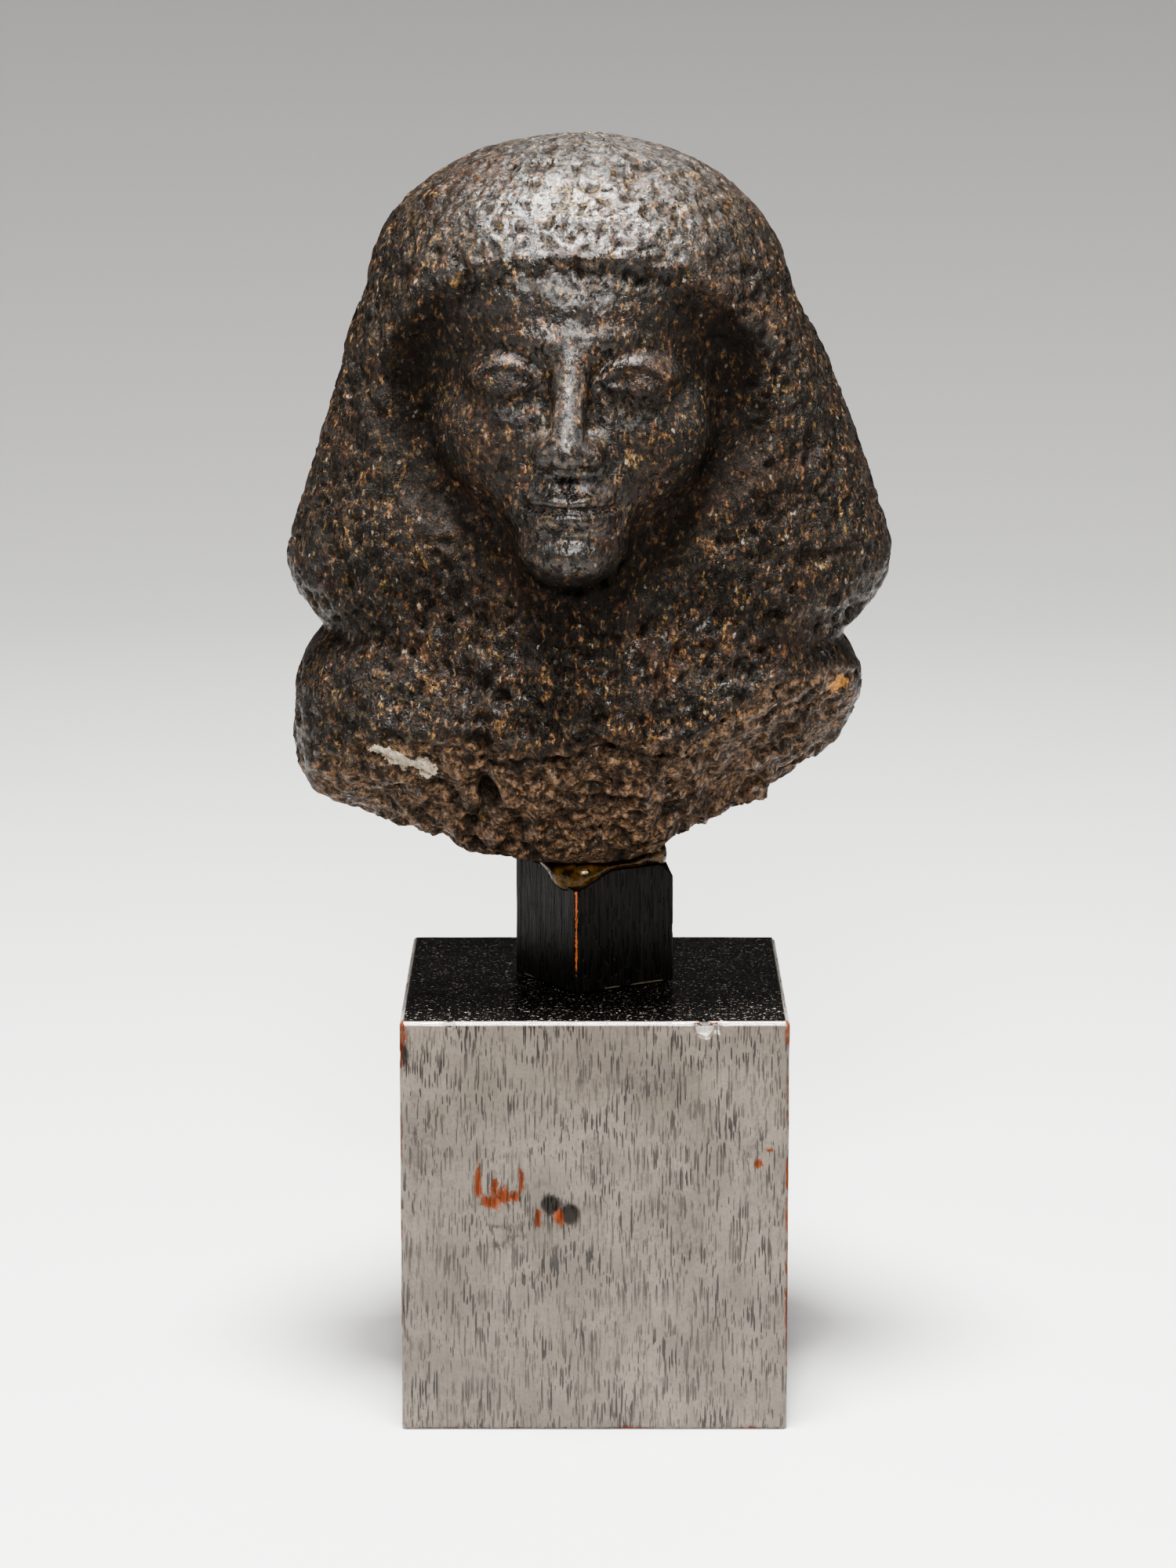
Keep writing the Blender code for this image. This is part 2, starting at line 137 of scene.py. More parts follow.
def addPiece(name, points, triangles, marks, material, node):
    mesh = bpy.data.meshes.new(name)
    mesh.vertices.add(len(points))
    mesh.vertices.foreach_set("co", points.astype(np.float32).ravel())
    mesh.loops.add(triangles.size)
    mesh.loops.foreach_set("vertex_index", triangles.astype(np.int32).ravel())
    mesh.polygons.add(len(triangles))
    mesh.polygons.foreach_set("loop_start", np.arange(0, triangles.size, 3, dtype=np.int32))
    mesh.update(calc_edges=True)
    mesh.shade_smooth()
    # some of these marks are masks for painted shade and painted highlight
    for mark, values in marks.items():  # what the finish reads: breaks, wear, dirt
        mesh.attributes.new(mark, "FLOAT", "POINT").data.foreach_set("value", values.astype(np.float32))
    mesh.materials.append(material)
    piece = bpy.data.objects.new(name, mesh)
    bpy.context.scene.collection.objects.link(piece)
    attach(piece, "root")
    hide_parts(node)
    print(f"{name}: {len(triangles)} triangles")


# finishes: small helpers for node trees

class Finish:
    def __init__(self, name):
        self.material = bpy.data.materials.new(name)
        self.material.use_nodes = True
        self.tree = self.material.node_tree
        self.shader = self.tree.nodes["Principled BSDF"]
        where = self.add("TexCoord").outputs["Object"]
        self.place = self.add("Mapping", {"Vector": where, "Scale": (1000, 1000, 1000)}).outputs[0]

    def add(self, kind, inputs=None, **settings):  # one node, with its settings, values and links
        made = self.tree.nodes.new("ShaderNode" + kind)
        for key, value in settings.items():
            setattr(made, key, value)
        for key, value in (inputs or {}).items():
            if isinstance(value, bpy.types.NodeSocket):
                self.tree.links.new(value, made.inputs[key])
            else:
                made.inputs[key].default_value = value
        return made

    def maths(self, operation, a, b):
        return self.add("Math", {0: a, 1: b}, operation=operation).outputs[0]

    def plus(self, a, b):
        return self.maths("ADD", a, b)

    def less(self, a, b):
        return self.maths("SUBTRACT", a, b)

    def times(self, a, b):
        return self.maths("MULTIPLY", a, b)

    def highest(self, a, b):
        return self.maths("MAXIMUM", a, b)

    def between(self, value, low, high, to=(0.0, 1.0)):  # carried from one range to another, held at its ends
        ends = {"From Min": low, "From Max": high, "To Min": to[0], "To Max": to[1]}
        return self.add("MapRange", {"Value": value, **ends}).outputs[0]

    def mix(self, share, *pair):  # two colours, each a socket or red, green and blue
        a, b = (tone if isinstance(tone, bpy.types.NodeSocket) else (*tone, 1) for tone in pair)
        return self.add("Mix", {0: share, 6: a, 7: b}, data_type="RGBA").outputs[2]

    def stretched(self, scale):
        return self.add("Mapping", {"Vector": self.place, "Scale": scale}).outputs[0]

    def noise(self, size, detail=3.0, rough=0.55, place=None):  # clouds about size mm across
        inputs = {"Vector": place or self.place, "Scale": 1 / size, "Detail": detail, "Roughness": rough}
        return self.add("TexNoise", inputs).outputs["Fac"]

    # noise of a size, detail and roughness, carried from one range to another
    def clouds(self, noise, low, high, to=(0.0, 1.0)):
        return self.between(self.noise(*noise), low, high, to)

    def swayed(self, scale, detail, reach):  # the place moved on by coloured noise times a reach in mm
        sway = self.add("TexNoise", {"Vector": self.place, "Scale": scale, "Detail": detail})
        terms = {0: sway.outputs["Color"], 1: reach, 2: self.place}
        return self.add("VectorMath", terms, operation="MULTIPLY_ADD").outputs[0]

    def cells(self, size, place):
        return self.add("TexVoronoi", {"Vector": place, "Scale": 1 / size}).outputs

    def steps(self, value, stops, sharp=True):  # colours by stops of (place, colour)
        made = self.add("ValToRGB", {"Fac": value})
        made.color_ramp.interpolation = "CONSTANT" if sharp else "LINEAR"
        while len(made.color_ramp.elements) < len(stops):
            made.color_ramp.elements.new(1.0)
        for element, (at, colour) in zip(made.color_ramp.elements, stops):
            element.position = at
            element.color = (*colour, 1)
        return made.outputs[0]

    def mark(self, name):
        return self.add("Attribute", attribute_name=name).outputs["Fac"]

    def bump(self, height, depth, below=None):  # height in shares of the depth, which is in mm
        inputs = {"Height": height, "Strength": 1.0, "Distance": depth * mm}
        if below:
            inputs["Normal"] = below
        return self.add("Bump", inputs).outputs[0]

    def put(self, **inputs):
        for key, value in inputs.items():
            socket = self.shader.inputs[key.replace("_", " ")]
            if isinstance(value, bpy.types.NodeSocket):
                self.tree.links.new(value, socket)
            else:
                socket.default_value = value
        return self.material


print("helpers ready")


# the stone's form, on a grid of 170 units from its underside to its crown, about a millimetre each
stone = {
    "grid": 170.0,
    "columns": 330,
    "rows": 300,
    "chin": 70.0,
    "scalp": 6.0,  # thickness of the wig over the skull
    "faceHalf": 35.0,
    "faceShift": -2.5,
    "faceTurn": math.radians(-4),
    "domeBase": 135.0,
    "domeHalf": 48.8,
    "wigFlare": 0.334,
    "wigStep": 2.4,
    "hemStart": 78.0,
    "hemCurl": 0.032,
    "wigFront": 47.6,
    "wigBack": 48.0,
    "wigSquareness": 2.3,
    "hairline": 142.5,
    "openingHalf": 38.5,
    "openingMiddle": 106.0,
    "openingFoot": 66.0,
    "openingTop": 2.7,  # squareness above its middle
    "openingPoint": 1.4,  # and below it
    "shoulderHalf": 67.0,
    "shoulderLine": 40.0,
    "chestFront": 46.0,
    # the flats of the break: a point on each, and the way it faces
    "breakFlats": (
        ((0, 0, 0), (0, 0, -1)),
        ((-31, 0, 0.8), (-0.34, -0.06, -0.94)),
        ((-70, 0, 18), (-0.78, -0.1, -0.62)),
        ((18, 0, 4), (0.38, 0, -0.92)),
        ((20, -46, 30), (0.59, -0.51, -0.62)),
        ((0, -46, 31), (0, -0.74, -0.67)),
        ((-48, -38, 30), (-0.24, -0.66, -0.71)),
        ((10, 44, 26), (0.1, 0.62, -0.78)),
    ),
    # rays run from a small oval inside the stone to a large one around it
    "innerMiddle": (-3, 7, 96), "innerReach": (27, 4, 56),
    "outerMiddle": (-3, -2, 82), "outerReach": (96, 88, 96),
    "frontCrowding": 0.55,
    # rings are gathered at two falls from the top: how many more there, where, and over how wide a stretch
    "gathered": ((1.0, math.radians(82), math.radians(36)), (0.9, math.radians(142), math.radians(22))),
}
head = stone["grid"] - stone["scalp"] - stone["chin"]
eyeLine = stone["chin"] + head / 2  # eyes halfway up the head
browLine = eyeLine + head / 12
noseBase = (browLine + stone["chin"]) / 2  # nose ends halfway from brow to chin
mouthLine = noseBase - (noseBase - stone["chin"]) / 3  # mouth a third of the way on from there
eyeWidth = 2 * stone["faceHalf"] / 5  # five eyes across the face
eyeOut = 1.04 * eyeWidth


# distance from an ellipsoid: how far out in radii, times that less one, over the slope there
def egg(x, y, z, centre, radii):
    offsets = (x - centre[0], y - centre[1], z - centre[2])
    near = np.sqrt(sum((o / r) ** 2 for o, r in zip(offsets, radii)))
    slope = np.sqrt(sum((o / r**2) ** 2 for o, r in zip(offsets, radii))) + 1e-9
    return near * (near - 1) / slope


# distance from a round bar: distance to its axis less the radius at the nearest point along it
def bar(x, y, z, start, end, startRadius, endRadius):
    axis = np.subtract(end, start)
    along = sum((value - s) * a for value, s, a in zip((x, y, z), start, axis)) / (axis @ axis)
    along = np.clip(along, 0, 1)
    gaps = [value - (s + along * a) for value, s, a in zip((x, y, z), start, axis)]
    return np.sqrt(sum(g * g for g in gaps)) - (startRadius + along * (endRadius - startRadius))


# how far out a point lies in a rounded oval: powers of its shares of both half widths, summed and rooted
def roundedOval(across, along, squareness):
    return (np.abs(across) ** squareness + np.abs(along) ** squareness) ** (1 / squareness)


# distance from an upright shaft whose plan is a rounded oval
def shaft(x, y, middle, halfWidth, front, back, squareness):
    depth = np.where(y < 0, front, back)
    plan = roundedOval((x - middle) / halfWidth, y / depth, squareness)
    return (plan - 1) * np.minimum(halfWidth, depth)


# the wig's outside: a dome over sides that flare downwards to a hem that curls in by a square
def wigShell(x, y, z):
    drop = np.maximum(stone["domeBase"] - z, 0)
    down = stone["domeBase"] - z
    flare = stone["wigFlare"] * drop + stone["wigStep"] * ramp(down, -8, 14)
    curl = stone["hemCurl"] * np.maximum(stone["hemStart"] - z, 0) ** 2
    halfWidth = np.maximum(stone["domeHalf"] + flare - curl, 5)
    front = np.maximum(stone["wigFront"] - 5.5 * ramp(down, -4, 55) - 0.1 * curl, 5)
    back = np.maximum(stone["wigBack"] + 2 * ramp(down, -4, 55) - 0.6 * curl, 5)
    middle = -1.4 - 2.6 * ramp(z, 95, 150)
    depth = np.where(y < 0, front, back)
    plan = roundedOval((x - middle) / halfWidth, y / depth, stone["wigSquareness"])
    rise = np.maximum(z - stone["domeBase"], 0) / (stone["grid"] - stone["domeBase"])
    return (np.sqrt(plan**2 + rise**2) - 1) * stone["wigFront"]


def facePlace(x, y):  # plan coordinates turned back to the head's own middle line
    along, aside = math.cos(stone["faceTurn"]), math.sin(stone["faceTurn"])
    across = x - stone["faceShift"]
    return across * along + y * aside, y * along - across * aside


# distance outside the wig's opening: a rounded square above its middle and a soft point below
def openingEdge(x, y, z):
    across = np.abs(facePlace(x, y)[0]) / stone["openingHalf"]
    up = np.maximum(z - stone["openingMiddle"], 0) / (stone["hairline"] - stone["openingMiddle"])
    down = np.maximum(stone["openingMiddle"] - z, 0) / (stone["openingMiddle"] - stone["openingFoot"])
    above = roundedOval(across, up, stone["openingTop"])
    below = roundedOval(across, down, stone["openingPoint"])
    return (np.where(z > stone["openingMiddle"], above, below) - 1) * stone["openingHalf"]


# the wig: its shell, sunk inside the opening by a ramp that is short at the brow and long beside the face
def wig(x, y, z):
    edge = openingEdge(x, y, z)
    atBrow = ramp(z, stone["hairline"] - 24, stone["hairline"] - 6)
    atFront = ramp(-y, 2, 16)
    wall = 15 - 9.5 * atBrow
    depth = 7 - 4.8 * atBrow - 2.5 * (1 - ramp(z, 62, 90))
    sunk = depth * atFront * (1 - ramp(edge, -0.4 * wall, 0.6 * wall))
    neckline = 4.5 * bell(x - stone["faceShift"], 20) * bell(z - 62, 17) * atFront
    return wigShell(x, y, z) + sunk + neckline


# rims of the eyes: bells along two arches, one minus the square of the place across the eye
def lidRelief(x, z):
    relief = 0
    for side in (-1, 1):
        across = (x * side - eyeOut) / (0.56 * eyeWidth)
        above = (z - eyeLine) / (0.56 * eyeWidth)
        arch = 1 - across**2
        within = 1 - ramp(np.abs(across), 0.8, 1.25)
        rims = 1.1 * bell(above - 0.52 * arch, 0.19) + 0.7 * bell(above + 0.36 * arch, 0.17)
        relief = relief + within * rims
    return relief


# brows: a bell along a half wave that rises and falls over each eye
def browRelief(x, z):
    across = np.abs(x) / (1.9 * eyeWidth)
    arch = browLine - 0.5 + 2.5 * np.sin(np.clip(across, 0, 1) * math.pi)
    return 0.9 * bell(z - arch, 3.0) * ramp(np.abs(x), 2, 6) * (1 - ramp(across, 0.8, 1.1))


# lips: two bells in height that thin out as a circle does, with a line, corners and dips cut in
def lipRelief(x, z):
    half = 0.76 * eyeWidth
    across = np.abs(x) / half
    full = np.sqrt(np.maximum(1 - across**2, 0))
    upper = bell(z - mouthLine - 1.9 + 0.5 * bell(x, 2), 1.8) * full
    lower = bell(z - mouthLine + 2.5, 2.2) * full
    line = bell(z - mouthLine, 0.6) * (1 - ramp(across, 0.9, 1.1))
    corner = bell(np.abs(x) - half, 1.7) * bell(z - mouthLine, 1.9)
    under = bell(z - mouthLine + 7, 2.3) * bell(x, 8)
    groove = bell(x, 1.6) * ramp(z, mouthLine + 3, mouthLine + 5) * (1 - ramp(z, noseBase - 3, noseBase))
    return 1.6 * upper + 1.8 * lower - 1.4 * line - 0.8 * corner - 0.8 * under - 0.5 * groove


# nose: a bar that widens downwards, joined to two small ellipsoids and cut level below
def nose(x, y, z):
    solid = bar(x, y, z, (0, -44, browLine), (0, -54, noseBase + 4.3), 2.8, 4.4)
    for side in (-1, 1):
        wing = egg(x, y, z, (side * 0.34 * eyeWidth, -49.8, noseBase + 3.2), (3.3, 5.6, 3.7))
        solid = softMin(solid, wing, 2)
    return softMax(solid, noseBase - z, 1.5)


# the face: ellipsoids for skull, jaw, cheeks, mouth and chin, softly joined, with the reliefs raised on them
def face(x, y, z):
    x, y = facePlace(x, y)
    skull = egg(x, y, z, (0, -6, 125), (stone["faceHalf"], 41, 43))
    jaw = egg(x, y, z, (0, -12, 98), (31.5, 33.5, 31))
    solid = softMin(skull, jaw, 8)
    for side in (-1, 1):
        cheek = egg(x, y, z, (side * 17, -31, 104), (14.5, 13.5, 15))
        solid = softMin(solid, cheek, 6)
    mouth = egg(x, y, z, (0, -35, mouthLine + 2), (15.5, 14, 12.5))
    chin = egg(x, y, z, (0, -37, stone["chin"] + 7.5), (13, 11.5, 8.5))
    solid = softMin(softMin(solid, mouth, 5), chin, 6)
    for side in (-1, 1):
        hollow = egg(x, y, z, (side * eyeOut, -51.5, eyeLine + 0.5), (11.5, 7.5, 7.5))
        solid = softMax(solid, -hollow, 5)
        ball = egg(x, y, z, (side * eyeOut, -36.5, eyeLine), (10.5, 9.6, 7.4))
        solid = softMin(solid, ball, 2)
    solid = softMin(solid, nose(x, y, z), 4.5)
    for side in (-1, 1):
        nostril = egg(x, y, z, (side * 2.9, -52, noseBase - 0.4), (1.7, 2.6, 1.6))
        solid = softMax(solid, -nostril, 0.8)
    return solid - ramp(-y, 30, 40) * (lidRelief(x, z) + browRelief(x, z) + lipRelief(x, z))


# neck, chest and shoulders: a shaft that closes in above the shoulder line as a circle does, and a bar
def torso(x, y, z):
    above = np.maximum(z - stone["shoulderLine"], 0)
    below = np.maximum(stone["shoulderLine"] - z, 0)
    halfWidth = stone["shoulderHalf"] * np.sqrt(np.maximum(1 - (above / 33) ** 2, 0.05)) - 0.004 * below**2
    front = stone["chestFront"] * np.sqrt(np.maximum(1 - (np.maximum(z - 28, 0) / 60) ** 2, 0.1))
    back = 43 * np.sqrt(np.maximum(1 - (np.maximum(z - 30, 0) / 60) ** 2, 0.1))
    mass = softMax(shaft(x, y, -3.4 - 0.07 * below, halfWidth, front, back, 2.5), z - 80, 6)
    neck = bar(x, y, z, (stone["faceShift"], -6, 45), (stone["faceShift"], -8, 90), 27, 25)
    return softMin(mass, neck, 9)


def beyondBreak(x, y, z):  # distance beyond the flats of the break, the furthest of them
    beyond = None
    for through, facing in stone["breakFlats"]:
        facing = np.divide(facing, np.linalg.norm(facing))
        flat = sum((value - at) * way for value, at, way in zip((x, y, z), through, facing))
        beyond = flat if beyond is None else softMax(beyond, flat, 4)
    return beyond


# the whole stone: wig, torso and face joined, cut by the break, with a low swell that dies out at the seat
def stoneField(x, y, z):
    whole = softMin(wig(x, y, z), torso(x, y, z), 3 + 5 * ramp(-y, 10, 36))
    whole = softMin(whole, face(x, y, z), 4)
    beyond = beyondBreak(x, y, z)
    offSeat = ramp(np.hypot(x, y), 26, 38)
    atBreak = 1 - ramp(-beyond, 0, 10)
    swell = (0.4 + 1.2 * atBreak) * (1 - (1 - offSeat) * atBreak)
    whole = softMax(whole, beyond, 3)
    p = np.stack([x, y, z], axis=1)
    return whole + swell * lumps(p, 13, 3) + 0.4 * swell * lumps(p, 6, 7)


# a point of an oval by two angles: sine and cosine of the turn from the front and of the fall from the top
def oval(turn, fall, middle, reach):
    way = np.stack([np.sin(turn) * np.sin(fall), -np.cos(turn) * np.sin(fall), np.cos(fall)], axis=-1)
    return np.array(middle) + way * np.array(reach)


# the stone's surface: the first place on each ray, from the outer oval inwards, where the field is negative
def stoneSurface():
    columns, rows = stone["columns"], stone["rows"]
    turn = np.arange(columns) * 2 * math.pi / columns
    turn = turn - stone["frontCrowding"] * np.sin(turn)
    even = np.linspace(0, math.pi, 721)
    density = np.cumsum(1 + sum(more * bell(even - at, reach) for more, at, reach in stone["gathered"]))
    fall = np.interp(np.arange(1, rows) / rows, (density - density[0]) / (density[-1] - density[0]), even)
    turn, fall = np.meshgrid(turn, fall)
    turn = np.append(turn.ravel(), [0, 0])
    fall = np.append(fall.ravel(), [0, math.pi])
    start = oval(turn, fall, stone["innerMiddle"], stone["innerReach"])
    way = oval(turn, fall, stone["outerMiddle"], stone["outerReach"]) - start
    share = np.ones(len(way))
    stride = 0.02
    outside = np.ones(len(way), bool)
    while outside.any():  # steps inwards, only for rays that are still outside
        share[outside] -= stride
        field = stoneField(*(start[outside] + way[outside] * share[outside, None]).T)
        outside[outside] = (field > 0) & (share[outside] > 0)
    low, high = share, share + stride
    for _ in range(12):  # then halvings
        middle = (low + high) / 2
        inside = stoneField(*(start + way * middle[:, None]).T) < 0
        low = np.where(inside, middle, low)
        high = np.where(inside, high, middle)
    rays = way / np.linalg.norm(way, axis=1, keepdims=True)
    return start + way * ((low + high) / 2)[:, None], rays


# vertex normals: the sum of the cross products of the triangles around each point
def pointNormals(points, triangles):
    a, b, c = (points[triangles[:, corner]] for corner in range(3))
    faceNormals = np.cross(b - a, c - a)
    sums = np.stack([
        sum(np.bincount(triangles[:, corner], faceNormals[:, axis], len(points)) for corner in range(3))
        for axis in range(3)
    ], axis=1)
    return sums / (np.linalg.norm(sums, axis=1, keepdims=True) + 1e-12)


def spot(p, at, reach):  # 1 at a place, falling as a bell of the distance in shares of its reach
    return np.exp(-(((p - np.array(at)) / np.array(reach)) ** 2).sum(axis=1))


# 1 along a line through places, falling as a bell of the distance from the nearest of its stretches
def streak(p, places, width):
    return np.max([bell(bar(*p.T, *ends, 0, 0), width) for ends in zip(places, places[1:])], axis=0)


# wear that is only in the skin of the stone, in grid units
skin = {
    "chestTop": (56, 74),  # heights between which the chest's wear gives way to the wig's
    "domeFoot": (132, 146),  # and the wig's to the dome's
    "seat": (17, 26),  # radii between which the seat on the resin gives way to the open break
    "pitDepth": {"wig": 1.5, "dome": 1.2, "face": 0.36, "chest": 1.9, "break": 1.7},
    "pits": {"small": (2.3, 61, 0.55), "large": (4.6, 71, 0.42)},  # size, seed, and chance of one in a cell
    "crags": ((9.0, 2.4), (4.6, 1.2), (2.6, 0.7)),  # size and depth of the break's roughness
    "scoop": ((-14.6, -43.5, 147.2), (5.5, 8, 3.4)),  # smooth dent above the brow
    "shelf": ((-14.9, -44.5, 32.6), (8.5, 8, 2.8)),  # swell on the break
    "abraded": ((-42, -36, 84), (13, 12, 6)),  # rubbed patch on the left lappet
    "ochre": ((57.4, -17, 42.9), (4.6, 6, 3.6)),  # a spot of ochre on the right shoulder
    "stain": ((-5, -36.4, 157.6), (7, 8, 3.2)),  # yellowish wear on the crown
    "scratch": ((7.3, -30.4, 161), (23.5, -18.5, 161.4)),
    "chip": ((-50, -37, 30.2), (-38.8, -34.6, 25)),  # pale fresh chip on the break's edge
    # lines cut in: depth, width, how much painted shade the finish puts in them, and the places that they
    # join
    "lines": (
        (4.2, 1.9, 1.0, ((-25.5, -44.3, 34.5), (-24.7, -29.5, 16.5))),  # notch
        (2.0, 1.5, 1.0, ((-23.8, -42.1, 27.2), (-6.9, -43, 29.2), (3.8, -45, 32.3), (16.3, -43.3, 27.5))),
        # edges of the break, left and right
        (1.3, 1.3, 0.4, (
            (-57.3, -33.5, 31.1), (-50, -36.3, 28.9), (-37.6, -33.1, 22.8), (-28.9, -22.7, 9.7),
        )),
        (0.78, 1.2, 0.24, (
            (18.2, -41.6, 26.2), (34.4, -36.3, 35.3), (45.5, -27.4, 39.2), (55, -17.5, 40.2),
        )),
        (1.1, 2.4, 0.6, ((62.2, -14.8, 61), (50.7, -27.7, 59.4))),  # creases under the wig's hem
        (1.1, 2.4, 0.6, ((-61.6, -16.1, 56.6), (-50, -31, 57.2))),
        (-0.5, 1.1, 0.0, ((-46, -34.8, 80.7), (-32.6, -37.4, 81))),  # a small step in the rubbed patch
    ),
}


# craggy relief: one less the square of 1.2 less the size of smooth lumps, which leaves ridges between
# hollows. The size is the root of the lump's square and a small number, so that the ridges are rounded
def crags(p, size, seed):
    return 1 - (1.2 - np.sqrt(lumps(p, size, seed) ** 2 + 0.04)) ** 2


# how far apart the grid's points lie: the longer of the steps along a ring and on to the next ring
def gridSpacing(points, rings, count):
    grid = points[:rings * count].reshape(rings, count, 3)
    along = np.linalg.norm(np.roll(grid, -1, axis=1) - grid, axis=2)
    across = np.linalg.norm(np.diff(grid, axis=0, append=grid[-1:]), axis=2)
    return np.append(np.maximum(along, across).ravel(), [0, 0])


# the skin's wear is cut in along the normals: pits by zone, crags on the break, then the single marks
def carveSkin(points, rays, triangles):
    normals = pointNormals(points, triangles)
    square = ramp((normals * rays).sum(axis=1), 0.3, 0.75)  # 0 where the grid is drawn out along the surface
    spacing = gridSpacing(points, stone["rows"] - 1, stone["columns"])

    def held(size):  # share of relief of this size that the grid is close enough to hold
        return 1 - ramp(spacing / size, 0.4, 0.75)

    def moved(size, seeds, reach):  # the points moved about by smooth lumps
        return points + reach * np.stack([lumps(points, size, seed) for seed in seeds], axis=1)

    x, y, z = points.T
    beyond = beyondBreak(x, y, z)
    broken = ramp(beyond + 1.4 * lumps(points, 5, 41), -3.4, -0.8)
    inFace = (1 - ramp(openingEdge(x, y, z), -9, -1)) * ramp(-y, 18, 30)
    chest = (1 - ramp(z, *skin["chestTop"])) * (1 - broken)
    dome = ramp(z, *skin["domeFoot"]) * (1 - inFace)
    seat = (1 - ramp(np.hypot(x, y), *skin["seat"])) * broken
    scoop = spot(points, *skin["scoop"])
    rubbed = np.clip(spot(points, *skin["abraded"]) + scoop, 0, 1)
    depth = skin["pitDepth"]["wig"]
    for share, zone in ((dome, "dome"), (chest, "chest"), (inFace, "face"), (broken, "break")):
        depth = depth + (skin["pitDepth"][zone] - depth) * share
    depth = depth * (1 - 0.8 * rubbed) * (1 - 0.85 * seat) * square
    warped = moved(4, (51, 52, 53), 1.2)
    upright = warped * np.array([1, 1, 0.7])  # draws the large pits out in height
    small, large = (
        pits(place, *skin["pits"][name]) * held(skin["pits"][name][0])
        for place, name in ((warped, "small"), (upright, "large"))
    )
    coarse = 0.5 * held(5) * crags(warped, 5, 81) + 0.3 * held(2.8) * crags(warped, 2.8, 82)
    cut = depth * (0.9 * small + large + coarse)
    rough = 0
    for layer, (size, deep) in enumerate(skin["crags"]):
        rough = rough + held(size) * deep * crags(warped, size, 90 + layer)
    chip = streak(moved(3, (55, 55, 55), 0.8), skin["chip"], 2.5)
    cut = (cut + broken * (1 - seat) * square * rough) * (1 - 0.75 * chip)
    cut = cut + 0.8 * chip + 1.1 * scoop - 1.3 * spot(points, *skin["shelf"])
    # painted shade: the pits are darkened as if shaded, less in the face, and the cut lines below add their
    # own
    dark = (1.1 * small + 0.9 * large) * (1 - 0.7 * inFace)
    for deep, width, darkness, places in skin["lines"]:
        line = streak(points, places, width)
        cut = cut + deep * line
        dark = dark + darkness * line
    highPoints = np.maximum(bell(facePlace(x, y)[0], 13), ramp(z, browLine + 4, browLine + 10))
    polish = dome * (0.3 + 0.7 * bell(x + 4, 27)) + inFace * (0.12 + 0.88 * highPoints) + 0.2 * rubbed
    marks = {
        "broken": broken, "chip": chip,
        # hollow: painted shade for the pits and the cut lines
        "hollow": np.clip(dark, 0, 1),
        # channel: the groove between face and wig, given painted shade and a duller finish
        "channel": bell(openingEdge(x, y, z) + 1, 10) * ramp(-y, 4, 14) * (1 - ramp(z, 128, 138)),
        "polish": np.clip(polish, 0, 1) * (1 - broken),
        "ochre": spot(points, *skin["ochre"]),
        "stain": np.maximum(spot(points, *skin["stain"]), streak(points, skin["scratch"], 0.7)),
    }
    return points - normals * cut[:, None], marks


